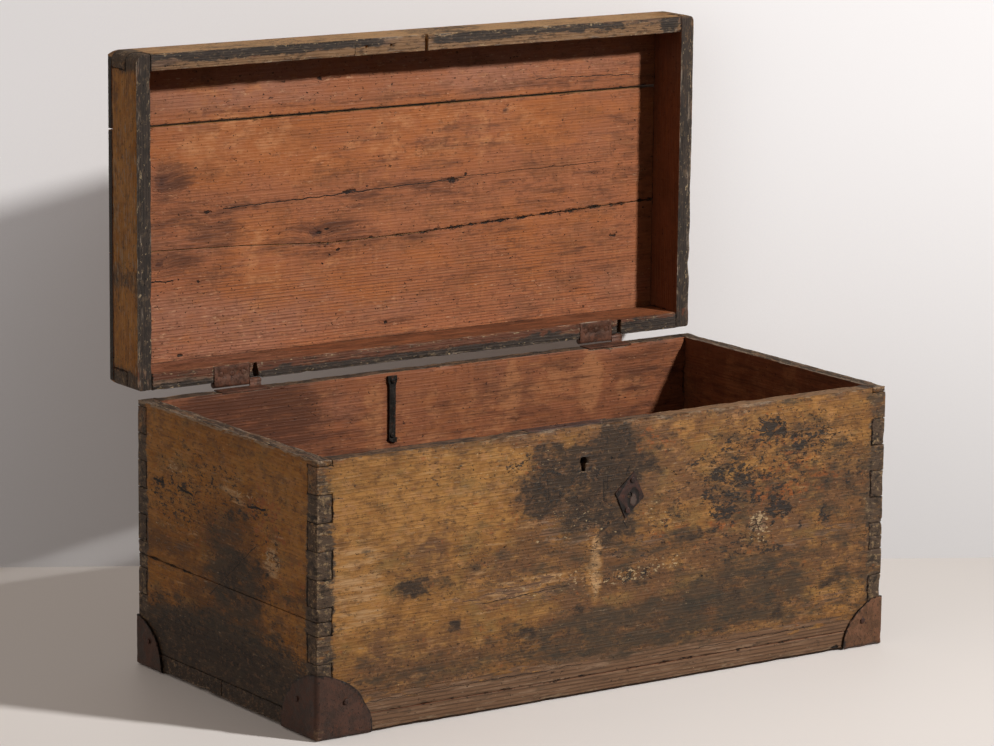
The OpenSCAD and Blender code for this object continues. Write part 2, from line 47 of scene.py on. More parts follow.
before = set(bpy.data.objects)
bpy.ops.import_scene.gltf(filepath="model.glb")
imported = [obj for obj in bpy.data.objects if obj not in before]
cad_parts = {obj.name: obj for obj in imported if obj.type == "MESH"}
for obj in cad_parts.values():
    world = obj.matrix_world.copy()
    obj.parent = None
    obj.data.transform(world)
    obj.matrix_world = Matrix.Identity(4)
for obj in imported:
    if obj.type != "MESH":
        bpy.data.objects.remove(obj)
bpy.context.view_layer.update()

MM = 0.001
WALLS = ["front_wall", "back_wall", "left_wall_upper", "left_wall_lower", "right_wall_upper",
         "right_wall_lower", "bottom_board_front", "bottom_board_rear"]
RAILS = ["lid_front_rail", "lid_back_rail", "lid_left_rail", "lid_right_rail"]
PLANKS = ["lid_plank_front", "lid_plank_middle", "lid_plank_rear"]
CAPS = ["cap_front_left", "cap_front_right", "cap_back_left", "cap_back_right"]
# The front board's outer face, the chest's rim, the open lid's foot and half the chest's width
FRONT_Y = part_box("front_wall")[0].y
RIM_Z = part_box("front_wall")[1].z
LID_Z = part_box("lid_back_rail")[0].z
HALF_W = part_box("front_wall")[1].x
# In mm: the chest's depth, the height of the seam between a side's two boards, how far from the
# middle the long boards' fingers begin, and how far from the front the sides' rear fingers do
CHEST_DEPTH, SIDE_SEAM = 395, 135
LONG_FINGERS, REAR_FINGERS = 370, 372
# In mm: how near a board touches another, how wide the lid's seams are, and how far the wear of an
# edge reaches, in a joint and elsewhere
TOUCHING, LID_SEAM = 0.4, 3.4
JOINT_REACH, EDGE_REACH = 3.2, 6
# Radii of the lid's lower left, lower right, upper left and upper right corner
LID_CORNERS = (0.008, 0.006, 0.013, 0.009)


# ---------------------------------------------------------------- colours and nodes

def linear(code):
    """The linear colour, with alpha, of an sRGB hex value."""
    parts = [int(code[i:i + 2], 16) / 255 for i in (1, 3, 5)]
    parts = [c / 12.92 if c <= 0.04045 else ((c + 0.055) / 1.055) ** 2.4 for c in parts]
    return (*parts, 1.0)


def add(tree, kind, settings, inputs, out=0):
    """Adds a node with its settings and its inputs, values or sockets, and returns one output."""
    made = tree.nodes.new("ShaderNode" + kind)
    for key, value in settings.items():
        setattr(made, key, value)
    for key, value in inputs.items():
        if isinstance(value, bpy.types.NodeSocket):
            tree.links.new(value, made.inputs[key])
        else:
            made.inputs[key].default_value = value
    return made.outputs[out] if len(made.outputs) else None


def reckoned(tree, operation, *values, clamp=False):
    """One step of arithmetic on values or sockets."""
    return add(tree, "Math", {"operation": operation, "use_clamp": clamp}, dict(enumerate(values)))


def vectored(tree, operation, *values):
    """One step of vector arithmetic. Dot products and lengths come out of the second output."""
    out = int(operation in ("DOT_PRODUCT", "LENGTH"))
    return add(tree, "VectorMath", {"operation": operation}, dict(enumerate(values)), out)


def mapped(tree, value, low, high, start=0.0, end=1.0, kind="SMOOTHSTEP"):
    """The range from low to high mapped to the one from start to end, softly if not LINEAR."""
    return add(tree, "MapRange", {"interpolation_type": kind}, {
        0: value, 1: low, 2: high, 3: start, 4: end})


def new_material(name):
    """An empty material and its node tree."""
    made = bpy.data.materials.new(name)
    made.use_nodes = True
    made.node_tree.nodes.clear()
    return made, made.node_tree


def close_material(tree, colour, roughness, height, depth, metallic=0.0, specular=0.5):
    """Ends a material in its shader. The height runs from 0 to 1 over a depth in metres."""
    normal = add(tree, "Bump", {}, {"Height": height, "Distance": depth, "Strength": 1.0})
    shader = add(tree, "BsdfPrincipled", {}, {
        "Base Color": colour, "Roughness": roughness, "Metallic": metallic,
        "Specular IOR Level": specular, "Normal": normal})
    add(tree, "OutputMaterial", {}, {"Surface": shader})


def grain_space(tree, along, across):
    """Object coordinates in mm turned to a board: X along its fibres, Y across its rings."""
    place = add(tree, "TexCoord", {}, {}, "Object")
    along, across = Vector(along), Vector(across).normalized()
    turned = [vectored(tree, "DOT_PRODUCT", place, axis * 1000)
              for axis in (along, across, along.cross(across))]
    return add(tree, "CombineXYZ", {}, dict(enumerate(turned)))


def pine_figure(tree, space, ring_mm):
    """Growth rings and fibres of pine: (late wood 0 to 1, fibres 0 to 1)."""
    # a wave's bands repeat every 0.314 of its own space
    pitch = 0.314 / ring_mm
    stretched = add(tree, "Mapping", {}, {"Vector": space, "Scale": (pitch / 28, pitch, pitch)})
    rings = add(tree, "TexWave", {"bands_direction": "Y"}, {
        "Vector": stretched, "Scale": 1.0, "Distortion": 7.0, "Detail": 3.0,
        "Detail Scale": 0.8}, 1)
    late = mapped(tree, rings, 0.45, 1.0)
    # pine's fibres are finer than a picture shows, so they are drawn 1.6 mm apart
    fibre_space = add(tree, "Mapping", {}, {"Vector": space, "Scale": (1 / 45, 1 / 1.6, 1 / 1.6)})
    fibres = add(tree, "TexNoise", {}, {
        "Vector": fibre_space, "Scale": 1.0, "Detail": 3.0, "Roughness": 0.6})
    return late, fibres


def coats(tree, base, layers):
    """Lays coats over a base colour. Each is its colour, its cover, 0 to 1, and how well it hides.
    A colour is a hex value or a linear one with alpha."""
    colour = linear(base) if isinstance(base, str) else base
    for coat, cover, hides in layers:
        held = reckoned(tree, "MULTIPLY", cover, hides)
        colour = add(tree, "Mix", {"data_type": "RGBA"}, {
            0: held, 6: colour, 7: linear(coat) if isinstance(coat, str) else coat}, 2)
    return colour


def summed(tree, base, layers):
    """Adds masks to a base value. Each is a mask and the amount it is multiplied by."""
    for mask, amount in layers:
        base = reckoned(tree, "MULTIPLY_ADD", mask, amount, base)
    return base


def strongest(tree, masks):
    """The highest of some masks."""
    highest = masks[0]
    for mask in masks[1:]:
        highest = reckoned(tree, "MAXIMUM", highest, mask)
    return highest


def covers(tree, space, keys):
    """A function that makes ragged covers out of noise and the densities of these names."""
    density = {key: add(tree, "Attribute", {"attribute_name": key}, {}, "Fac") for key in keys}

    def cover(size_mm, low, high, key=None, weight=0.3, detail=4.0, roughness=0.7):
        """A cover, 0 to 1: noise of a size along and across the grain, raised by a density."""
        spread = add(tree, "Mapping", {}, {
            "Vector": space, "Scale": (1 / size_mm[0], 1 / size_mm[1], 1 / size_mm[1])})
        ragged = add(tree, "TexNoise", {}, {
            "Vector": spread, "Scale": 1.0, "Detail": detail, "Roughness": roughness})
        if key:
            ragged = summed(tree, ragged, [(density[key], weight)])
        return mapped(tree, ragged, low, high)

    return cover


def spots(tree, place, ragged, places, edge):
    """Round marks, 0 to 1, and how far the rings bow round them, in mm. Each mark is its place and
    its radius in metres and how many times wider than high it is."""
    marks, bows = [], []
    for x, y, z, radius, wide in places:
        away = vectored(tree, "SUBTRACT", place, (x, y, z))
        squeezed = vectored(tree, "MULTIPLY", away, (1 / (radius * wide), 1 / radius, 1 / radius))
        far = vectored(tree, "LENGTH", squeezed)
        # the noise adds 1.2 at its mean, so a mark ends at about its radius
        far = summed(tree, far, [(ragged, 2.4)])
        marks.append(mapped(tree, far, 2.1 + edge, 2.1 - edge))
        bows.append((mapped(tree, far, 5.5, 1.2, 0.0, radius * 900), 1.0))
    return strongest(tree, marks), summed(tree, bows[0][0], bows[1:])


def cracks(tree, place, lines):
    """Split lines, 0 to 1. Each is its two ends in metres, in object space, and its width in mm."""
    wander = add(tree, "TexNoise", {}, {"Vector": place, "Scale": 60.0, "Detail": 3.0})
    found = []
    for start, end, width in lines:
        start, end = Vector(start), Vector(end)
        run = (end - start).normalized()
        # the line's own plane is the one in which its ends differ
        flat = Vector((0, 1, 0)) if abs(run.x) > abs(run.y) else Vector((1, 0, 0))
        rise = run.cross(flat)
        off = vectored(tree, "SUBTRACT", place, (start + end) / 2)
        aside = vectored(tree, "DOT_PRODUCT", off, rise * 1000)
        # the line wanders 3 mm to both sides
        aside = summed(tree, aside, [(wander, 6.0)])
        aside = reckoned(tree, "COMPARE", aside, 3.0, width / 2)
        along = vectored(tree, "DOT_PRODUCT", off, run * 1000)
        along = reckoned(tree, "COMPARE", along, 0.0, (end - start).length * 500)
        found.append(reckoned(tree, "MULTIPLY", aside, along))
    return strongest(tree, found)


def painted_pine(name, along, across, look, splits=(), holes=(), side=False):
    """Pine under a brushed ochre oil paint, worn and smeared with black: the paint lies thin and
    satin over the wood's rings, and where it has gone the wood is dull and brown."""
    made, tree = new_material(name)
    space = grain_space(tree, along, across)
    place = add(tree, "TexCoord", {}, {}, "Object")
    late, fibres = pine_figure(tree, space, 4.2)
    cover = covers(tree, space, ("black", "film", "wash", "bare", "pale", "tan", "golden", "red",
                                 "ends", "joint", "rub"))

    # bare wood: rings 4 mm apart over fibres, paler and darker in streaks
    bare = coats(tree, look.bare_wood, [
        (look.late_wood, late, 0.75),
        ("#8a6f59", cover((60, 4), 0.50, 0.72), 0.9),
        ("#4a382b", cover((40, 9), 0.52, 0.74), 0.7)])
    dull, ochre, bright = look.ochre_dull, look.ochre, look.ochre_bright
    clouds, pinkish = 0.5, 0.6
    if side:
        dull, ochre, bright = look.side_dull, look.side_ochre, look.side_bright
        clouds, pinkish = 0.25, 0.25
    paint = coats(tree, dull, [
        # ochre in clouds 60 mm wide, rubbed bright in blots of 8 mm
        (ochre, cover((90, 60), 0.44, 0.66, "golden", 0.3, 5.0), 0.95),
        (bright, cover((19, 8), 0.545, 0.70, "golden", 0.145), 0.6),
        ("#b07f46", cover((48, 27), 0.53, 0.68, "golden", 0.12, 5.0), clouds),
        # pink, green, brown and red in it
        ("#a0744c", cover((17, 11), 0.57, 0.68, "golden", 0.06), pinkish),
        ("#655a3a", cover((44, 30), 0.50, 0.70, detail=5.0), 0.42),
        ("#604026", cover((19, 14), 0.50, 0.64, "wash", 0.10, 5.0), 0.62),
        (look.ochre_red, cover((10, 8), 0.61, 0.71, "red", 0.20), 0.7),
        # dirt in the brush marks and along the rings, and a grit of 4 mm blots
        (look.brushed, cover((30, 3.6), 0.52, 0.70), 0.42),
        ("#463020", late, 0.12),
        # paint rubbed thin and tan, and on the lid's top face also a painted highlight
        ("#ac875f", cover((50, 7), 0.58, 0.78, "tan", 0.40, 5.0), 0.9),
        ("#3f2b1a", cover((8, 5.4), 0.595, 0.68, "wash", 0.12, 3.0), 0.55),
        ("#35231a", cover((4.4, 3.4), 0.65, 0.685, "wash", 0.12, 2.0), 0.8)])
    worn = cover((26, 6), 0.66, 0.74, "bare", 0.42)
    # dirt wiped over the paint, brown to greenish black
    dirt = coats(tree, look.wash, [
        ("#2b2a24", cover((36, 18), 0.47, 0.64), 0.85),
        ("#674c33", cover((11, 5.5), 0.54, 0.66), 0.6)])
    # a thin slate film of the black paint, with brown showing through and blacker in dots
    slate = coats(tree, look.slate, [
        ("#5c432f", cover((9, 6), 0.52, 0.62), 0.8),
        ("#1b1716", cover((6, 5), 0.54, 0.61, detail=3.0), 0.85)])
    # flakes of the black paint, 3 to 15 mm long
    flakes = cover((10, 6), 0.69, 0.72, "black", 0.27, 4.0, 0.78)
    # nicks 2 to 4 mm wide, all over
    pits = cover((6.5, 4.2), 0.66, 0.695, "black", 0.09, 3.0)
    # the boards' ends are grey and rough
    end_wood = coats(tree, look.weathered, [
        ("#8c7556", cover((9, 6), 0.52, 0.66), 0.8),
        ("#241d17", cover((12, 7), 0.50, 0.62), 0.9)])
    # black dirt in the joints, splits and holes
    seams = [cover((12, 6), 0.64, 0.80, "joint", 0.40)]
    if splits:
        seams.append(cracks(tree, place, splits))
    if holes:
        ragged = add(tree, "TexNoise", {}, {"Vector": space, "Scale": 0.25, "Detail": 3.0})
        seams.append(spots(tree, place, ragged, holes, 0.25)[0])
    seams = strongest(tree, seams)
    colour = coats(tree, paint, [
        (bare, worn, 1.0),
        (dirt, cover((40, 16), 0.56, 0.82, "wash", 0.32), 0.9),
        (slate, cover((20, 15), 0.60, 0.80, "film", 0.38), 0.95),
        (look.black, flakes, 0.93),
        ("#2a1c12", pits, 0.85),
        # pale chips
        ("#ab9370", cover((6, 3.4), 0.68, 0.75, "pale", 0.24, 3.0), 0.85),
        (end_wood, cover((16, 9), 0.60, 0.78, "ends", 0.42), 1.0),
        # rubbed edges
        ("#87725c", cover((14, 4), 0.62, 0.76, "rub", 0.28), 0.9),
        ("#15100c", seams, 1.0)])

    # bare wood is duller than the satin paint
    satin = mapped(tree, fibres, 0.2, 0.8, 0.44, 0.70, "LINEAR")
    roughness = reckoned(tree, "MULTIPLY_ADD", worn, 0.16, satin, clamp=True)
    # flakes stand 0.2 mm proud and the rings 0.1 mm, and worn places lie 0.2 mm deep
    height = summed(tree, fibres, [
        (late, 0.25), (flakes, 0.45), (worn, -0.35), (pits, -1.2), (seams, -2.0)])
    close_material(tree, colour, roughness, height, 0.5 * MM, specular=0.22)
    return made


def stained_pine(name, along, across, look, knots=(), holes=(), splits=(), painted_shade=0.0):
    """Pine rubbed with a thin red-brown stain: the rings show as fine dark lines, the colour
    drifts between pink and orange, and knots, holes and splits stay dark. Faces that stand in
    shade are darkened evenly with painted shade."""
    made, tree = new_material(name)
    space = grain_space(tree, along, across)
    place = add(tree, "TexCoord", {}, {}, "Object")
    if knots:
        ragged = add(tree, "TexNoise", {}, {"Vector": space, "Scale": 0.2, "Detail": 3.0})
        knot, bow = spots(tree, place, ragged, knots, 0.8)
        hole, other_bow = spots(tree, place, ragged, holes, 0.25)
        # the rings bow round them
        shift = add(tree, "CombineXYZ", {}, {1: summed(tree, bow, [(other_bow, 1.0)])})
        space = vectored(tree, "ADD", space, shift)
    cover = covers(tree, space, ("pink", "orange", "dark", "rubbed", "lines", "joint"))

    late, fibres = pine_figure(tree, space, 3.6)
    # dark lines of late wood only where they are strong
    strong = cover((160, 40), 0.50, 0.85, "lines", 0.36, 3.0)
    lines = reckoned(tree, "MULTIPLY", late, strong)
    specks = cover((5.5, 3.6), 0.665, 0.715, "pink", 0.03, 2.0)
    seams = cover((12, 6), 0.64, 0.80, "joint", 0.40)
    if splits:
        seams = strongest(tree, [seams, cracks(tree, place, splits)])
    layers = [
        # the stain drifts over clouds of 60 mm, and is uneven in blots of 12 mm
        (look.stain_pink, cover((120, 60), 0.52, 0.80, "pink", 0.32, 5.0), 0.9),
        ("#9b5a2e", cover((90, 44), 0.52, 0.82, "orange", 0.30, 5.0), 0.85),
        ("#734629", cover((60, 30), 0.48, 0.70, "dark", 0.1, 5.0), 0.65),
        ("#a3643a", cover((34, 17), 0.53, 0.72, "rubbed", 0.14), 0.6),
        (look.stain_rubbed, cover((22, 14), 0.60, 0.84, "rubbed", 0.26), 0.8),
        (look.stain_late, lines, 0.6),
        # streaks 3 mm wide, dark and light
        (look.stain_late, cover((70, 3.2), 0.46, 0.74), 0.36),
        ("#b58059", cover((50, 2.4), 0.56, 0.74, "lines", 0.05), 0.3),
        # faint marks of the saw across the grain
        (look.stain_rubbed, cover((5, 50), 0.50, 0.74, detail=3.0), 0.2),
        # darker where marked, blots of 6 mm, nicks and pale scuffs
        (look.stain_dark, cover((56, 10), 0.58, 0.86, "dark", 0.34, 5.0), 0.8),
        ("#5b3522", cover((9, 6), 0.55, 0.70, "dark", 0.06, 3.0), 0.5),
        ("#24140d", specks, 0.9),
        ("#c29775", cover((12, 3.4), 0.62, 0.76, "pink", 0.07), 0.6),
        # painted shade: an even dark coat over inner faces that stand in shade, as strong as
        # painted_shade
        (look.stain_deep, 1.0, painted_shade),
        ("#120b07", seams, 1.0)]
    relief = [(late, 0.3), (specks, -1.0), (seams, -2.0)]
    if knots:
        layers += [("#42271f", knot, 0.85), ("#1b0f0a", hole, 0.95)]
        relief.append((hole, -2.0))
    colour = coats(tree, look.stain, layers)
    roughness = mapped(tree, fibres, 0.2, 0.8, 0.50, 0.70, "LINEAR")
    close_material(tree, colour, roughness, summed(tree, fibres, relief), 0.4 * MM, specular=0.22)
    return made


def weathered_pine(name, along, across, look, dark=0.0):
    """The boards' sawn edges, black with old paint and hands and worn back to grey-brown wood."""
    made, tree = new_material(name)
    space = grain_space(tree, along, across)
    late, fibres = pine_figure(tree, space, 3.0)
    cover = covers(tree, space, ("rim_paint", "rim_worn", "rim_brown", "rim_red", "joint", "rub"))

    wood = coats(tree, look.rim_wood, [
        (look.late_wood, late, 0.5),
        ("#7d5f44", cover((44, 10), 0.60, 0.78, "rim_brown", 0.34), 0.9),
        ("#573324", cover((44, 10), 0.60, 0.76, "rim_red", 0.36), 0.95),
        ("#94795f", cover((40, 3), 0.53, 0.68), 0.45),
        ("#35281f", cover((16, 5), 0.50, 0.64), 0.75)])
    # old slate paint, worn off in runs of 30 mm
    slate = coats(tree, look.rim_slate, [
        (look.black, cover((26, 9), 0.44, 0.62), 0.85),
        ("#57493b", cover((10, 5), 0.53, 0.66), 0.75)])
    paint = cover((24, 7), 0.58 - dark, 0.70 - dark, "rim_paint", 0.34, 6.0, 0.78)
    rubbed = cover((20, 6), 0.60, 0.74, "rim_worn", 0.38, 5.0)
    paint = reckoned(tree, "SUBTRACT", paint, rubbed, clamp=True)
    pits = cover((6, 3.5), 0.655, 0.70, detail=3.0)
    colour = coats(tree, wood, [
        (slate, paint, 0.95),
        # rubbed edges
        ("#988569", cover((6, 3), 0.655, 0.72, "rub", 0.16, 3.0), 0.85),
        ("#85776a", cover((30, 4), 0.66, 0.80, "rub", 0.28), 0.7),
        ("#171210", pits, 0.9),
        ("#14100d", cover((12, 6), 0.64, 0.80, "joint", 0.40), 1.0)])
    roughness = mapped(tree, fibres, 0.2, 0.8, 0.56, 0.78, "LINEAR")
    height = summed(tree, fibres, [(late, 0.4), (pits, -1.0)])
    close_material(tree, colour, roughness, height, 0.6 * MM, specular=0.2)
    return made


def rusted_iron(name, dark, rust, bright, grit_mm, shine):
    """Iron under a tight brown rust, rubbed on its high spots: dark and dull, with a dim gloss
    where hands and floors have polished it."""
    made, tree = new_material(name)
    place = add(tree, "TexCoord", {}, {}, "Object")
    space = add(tree, "VectorMath", {"operation": "SCALE"}, {0: place, "Scale": 1000.0})
    cover = covers(tree, space, ("rub", "edge"))

    crust = cover((18, 18), 0.36, 0.64)
    pits = cover((grit_mm, grit_mm), 0.60, 0.68, detail=2.0)
    polished = cover((8, 8), 0.64, 0.84, "rub")
    colour = coats(tree, dark, [
        (rust, crust, 1.0),
        ("#7d472c", cover((7, 7), 0.55, 0.70, roughness=0.75), 0.4),
        ("#150f0c", pits, 0.8),
        (bright, polished, 1.0),
        # painted shade along the edges and in the grooves, and the black dirt held there
        ("#120d0b", cover((7, 7), 0.60, 0.76, "edge", 0.36), 0.95)])
    metallic = reckoned(tree, "MULTIPLY_ADD", polished, 0.5, 0.12)
    roughness = mapped(tree, crust, 0.0, 1.0, shine, shine + 0.22, "LINEAR")
    height = summed(tree, crust, [(pits, -0.7)])
    close_material(tree, colour, roughness, height, 0.3 * MM, metallic, 0.28)
    return made


# ---------------------------------------------------------------- marks, in mm

# Each mark is: place across, height, half its width, half its height, strength
FRONT_MARKS = {
    "film": [
        (-88, 289, 24, 20, 0.85), (-98, 246, 32, 32, 0.85), (3, 291, 30, 30, 1.1),
        (-30, 250, 66, 54, 0.66), (6, 262, 62, 18, 1.0), (-44, 272, 44, 26, 0.8),
        (-30, 225, 60, 34, 0.7), (2, 196, 30, 38, 0.7), (200, 220, 90, 40, 0.2),
        (70, 290, 50, 20, 0.35), (-275, 158, 34, 12, 0.72), (-215, 108, 14, 7, 0.62),
        (-46, 98, 13, 13, 0.72), (320, 88, 20, 10, 0.6), (-120, 86, 22, 9, 0.5),
        (-148, 88, 14, 7, 0.5), (70, 205, 30, 8, 0.4), (110, 172, 34, 10, 0.5),
        (192, 148, 14, 12, 0.5), (248, 62, 16, 10, 0.6), (180, 90, 80, 30, 0.3),
        (-230, 230, 12, 6, 0.4), (-370, 127, 12, 6, 0.5), (26, 131, 44, 12, 0.5),
        (395, 250, 12, 40, 0.4)],
    "black": [
        (2, 292, 24, 20, 0.45), (-92, 254, 26, 30, 0.5), (-30, 245, 66, 34, 0.42),
        (226, 287, 22, 14, 0.95), (240, 279, 13, 7, 1.0), (277, 259, 9, 9, 0.95),
        (268, 272, 8, 5, 0.8), (215, 250, 100, 60, 0.48), (290, 268, 46, 26, 0.6),
        (238, 303, 20, 4, 0.6), (300, 296, 14, 5, 0.6), (340, 230, 40, 40, 0.4),
        (165, 222, 46, 36, 0.68), (186, 229, 28, 9, 0.95), (152, 240, 16, 9, 0.9),
        (160, 192, 24, 9, 0.95), (138, 215, 12, 14, 0.8), (242, 186, 24, 11, 0.95),
        (180, 170, 60, 12, 0.45), (95, 225, 20, 30, 0.4), (206, 206, 10, 10, 0.8),
        (236, 207, 20, 9, 0.75), (200, 156, 12, 8, 0.75), (310, 171, 10, 13, 0.85),
        (277, 166, 6, 10, 0.7), (250, 238, 70, 16, 0.42), (190, 146, 54, 14, 0.5),
        (236, 138, 20, 6, 0.65), (170, 138, 14, 8, 0.6), (26, 133, 44, 10, 0.6),
        (-140, 281, 18, 6, 0.7), (-120, 286, 8, 8, 0.5), (118, 252, 20, 5, 0.5),
        (90, 250, 14, 4, 0.5), (-60, 175, 60, 10, 0.3), (80, 190, 40, 6, 0.45),
        (-190, 205, 20, 5, 0.4), (290, 250, 60, 30, 0.3), (40, 160, 60, 14, 0.4),
        (-230, 283, 30, 16, 0.35)],
    "wash": [
        (240, 240, 120, 70, 0.4), (340, 200, 50, 90, 0.5), (360, 80, 40, 40, 0.5),
        (-20, 190, 90, 90, 0.4), (60, 72, 240, 32, 0.85), (185, 92, 110, 42, 0.85),
        (-40, 215, 70, 36, 0.55), (-80, 240, 60, 50, 0.45), (-270, 60, 120, 20, 0.5),
        (100, 150, 90, 30, 0.4), (0, 280, 60, 40, 0.45), (300, 120, 60, 30, 0.3),
        (330, 60, 60, 30, 0.3), (385, 170, 22, 160, 0.5), (0, 316, 400, 7, 0.4),
        (-120, 170, 100, 30, 0.35), (60, 190, 60, 40, 0.4), (-240, 160, 60, 20, 0.35)],
    "golden": [
        (-290, 262, 110, 56, 0.75), (-350, 170, 50, 80, 0.65), (-170, 275, 60, 32, 0.8),
        (-290, 150, 60, 60, 0.3), (-190, 130, 90, 30, 0.4), (-24, 150, 10, 40, 1.2),
        (-190, 225, 50, 40, 0.6), (-120, 140, 60, 16, 0.5), (330, 70, 50, 24, 0.6),
        (240, 270, 150, 50, 0.4), (110, 190, 50, 20, 0.4), (340, 110, 30, 20, 0.4),
        (-200, 100, 60, 20, 0.3)],
    "tan": [
        (-24, 150, 7, 40, 0.9), (-110, 138, 70, 16, 0.4), (300, 326, 110, 7, 1.2),
        (90, 326, 90, 6, 0.9), (-352, 175, 46, 56, 0.42)],
    "pale": [
        (-24, 146, 9, 34, 0.4), (26, 133, 42, 9, 0.55), (212, 173, 13, 15, 0.85),
        (25, 128, 4, 3, 1.6), (-50, 205, 60, 24, 0.22), (70, 143, 44, 8, 0.5),
        (-392, 190, 12, 130, 0.7), (-80, 140, 80, 14, 0.35), (215, 160, 16, 14, 0.5),
        (-140, 290, 90, 20, 0.25), (70, 205, 40, 20, 0.3)],
    "red": [
        (260, 220, 70, 34, 0.6), (230, 262, 50, 30, 0.35), (300, 220, 40, 20, 0.6),
        (90, 180, 40, 16, 0.4), (-110, 280, 20, 14, 0.5), (170, 180, 40, 14, 0.4),
        (60, 290, 40, 16, 0.4), (-150, 225, 30, 16, 0.3)],
    "ends": [(-391, 170, 14, 170, 0.9), (392, 170, 18, 170, 0.9)],
    "bare": [
        (-395, 190, 14, 130, 0.6), (0, 24, 420, 12, 1.1), (-60, 208, 60, 30, 0.42),
        (40, 165, 60, 16, 0.45), (-120, 135, 100, 16, 0.45), (212, 173, 12, 14, 0.8),
        (0, 40, 420, 10, 0.6), (300, 150, 60, 20, 0.4), (320, 70, 60, 12, 0.4)],
}
LEFT_MARKS = {
    "film": [
        (170, 222, 24, 12, 0.5), (60, 262, 30, 10, 0.4), (6, 170, 14, 170, 0.75),
        (150, 150, 60, 40, 0.5), (389, 170, 12, 170, 0.8), (220, 48, 220, 32, 0.75),
        (60, 80, 60, 30, 0.25)],
    "black": [
        (240, 250, 120, 40, 0.42), (110, 210, 50, 40, 0.4), (345, 230, 14, 5, 0.9),
        (285, 232, 18, 5, 0.9), (130, 240, 20, 5, 0.9), (300, 215, 70, 34, 0.5),
        (150, 150, 60, 30, 0.4), (200, 82, 200, 26, 0.45), (170, 225, 40, 16, 0.5),
        (250, 60, 120, 20, 0.4)],
    "wash": [
        (200, 56, 240, 44, 1.05), (180, 140, 60, 50, 0.8), (60, 110, 80, 50, 0.3),
        (200, 20, 240, 30, 1.2), (200, 190, 40, 30, 0.5)],
    "ends": [(9, 170, 14, 170, 1.0), (386, 170, 14, 170, 1.0)],
    "red": [(110, 230, 50, 40, 0.6), (60, 170, 40, 30, 0.3), (250, 200, 60, 40, 0.3)],
    "golden": [
        (60, 230, 70, 70, 1.0), (330, 250, 100, 70, 0.9), (90, 280, 90, 36, 0.9),
        (250, 270, 120, 40, 0.7), (330, 110, 50, 40, 0.5), (70, 110, 50, 50, 0.7)],
    "pale": [
        (312, 250, 17, 5, 0.8), (160, 250, 36, 4, 0.6), (95, 186, 22, 16, 0.6),
        (300, 180, 60, 10, 0.3)],
    "tan": [(95, 186, 16, 20, 0.6), (312, 252, 14, 6, 0.5), (180, 246, 30, 8, 0.4)],
    "bare": [(300, 160, 60, 12, 0.35), (100, 185, 24, 16, 0.4), (200, 12, 240, 10, 0.6)],
}
BACK_MARKS = {
    "film": [(-200, 240, 50, 18, 0.5), (120, 180, 60, 20, 0.45), (0, 60, 380, 26, 0.4)],
    "black": [
        (-200, 240, 60, 16, 0.55), (120, 180, 70, 20, 0.5), (260, 90, 50, 16, 0.5),
        (-60, 120, 40, 12, 0.5)],
    "wash": [(0, 70, 380, 40, 0.8), (60, 240, 160, 40, 0.4)],
    "ends": [(391, 170, 14, 170, 0.9), (-391, 170, 14, 170, 0.9)],
    "golden": [(-220, 200, 120, 70, 0.7), (240, 240, 90, 50, 0.7)],
    "pale": [(40, 200, 40, 10, 0.4)],
    "bare": [(0, 24, 420, 12, 1.0), (-100, 290, 120, 10, 0.4)],
}
INSIDE_MARKS = {
    "rubbed": [
        (-85, 255, 17, 60, 1.0), (0, 250, 10, 60, 0.8), (115, 275, 15, 42, 1.3),
        (235, 275, 18, 42, 1.5), (60, 220, 60, 80, 0.6), (175, 280, 80, 30, 0.8),
        (-200, 300, 60, 10, 0.5), (300, 262, 30, 20, 0.9), (-60, 230, 60, 60, 0.5)],
    "pink": [(-60, 200, 60, 60, 0.4), (-150, 250, 50, 60, 0.3)],
    "lines": [(0, 200, 400, 130, 0.3)],
    # the inside is darker towards the bottom and at the back board's inner left part
    "dark": [
        (0, 60, 400, 60, 0.5), (330, 290, 60, 40, 0.6), (-270, 270, 130, 70, 1.0),
        (-60, 280, 20, 50, 0.3), (-110, 230, 120, 50, 0.45), (190, 240, 200, 80, 0.4),
        (160, 300, 60, 10, 0.3)],
}
# In the lid the height runs from the hinges to the front edge
LID_MARKS = {
    "pink": [
        (-300, 40, 140, 70, 0.8), (-150, 60, 200, 40, 0.5), (0, 340, 400, 30, 0.6),
        (-230, 338, 130, 24, 0.5), (200, 40, 200, 40, 0.3), (-330, 190, 70, 60, 0.3)],
    "rubbed": [
        (60, 265, 170, 36, 0.5), (-240, 275, 90, 40, 0.75), (-60, 110, 90, 20, 0.4),
        (-250, 340, 70, 12, 0.6), (-200, 120, 40, 70, 0.55), (-130, 240, 60, 26, 0.4),
        (20, 285, 90, 12, 0.6)],
    "orange": [
        (-180, 265, 170, 46, 0.9), (100, 270, 230, 40, 0.7), (-40, 100, 200, 50, 0.5),
        (230, 120, 120, 60, 0.5), (-200, 130, 60, 60, 0.6), (-340, 270, 40, 30, 0.3)],
    "lines": [(0, 62, 420, 62, 0.85), (-100, 185, 200, 16, 0.3), (-300, 335, 120, 20, 0.2)],
    "dark": [
        (0, 19, 420, 3, 0.6), (80, 230, 260, 50, 0.25), (240, 80, 180, 60, 0.3),
        (-290, 160, 80, 60, 0.6), (-120, 150, 90, 24, 0.6), (0, 140, 260, 10, 0.5),
        (180, 150, 120, 12, 0.4), (-160, 198, 160, 8, 0.65), (0, 196, 120, 16, 0.65),
        (300, 115, 60, 12, 0.5), (-320, 236, 30, 26, 0.7), (120, 80, 60, 20, 0.3),
        (300, 40, 70, 20, 0.3), (-335, 135, 24, 12, 0.5), (240, 318, 80, 12, 0.5),
        (330, 320, 40, 20, 0.4), (-20, 40, 60, 6, 0.6), (100, 255, 60, 30, 0.3),
        (0, 312, 400, 4, 0.5), (180, 175, 200, 20, 0.35), (340, 200, 40, 100, 0.3),
        (300, 200, 50, 8, 0.5)],
}
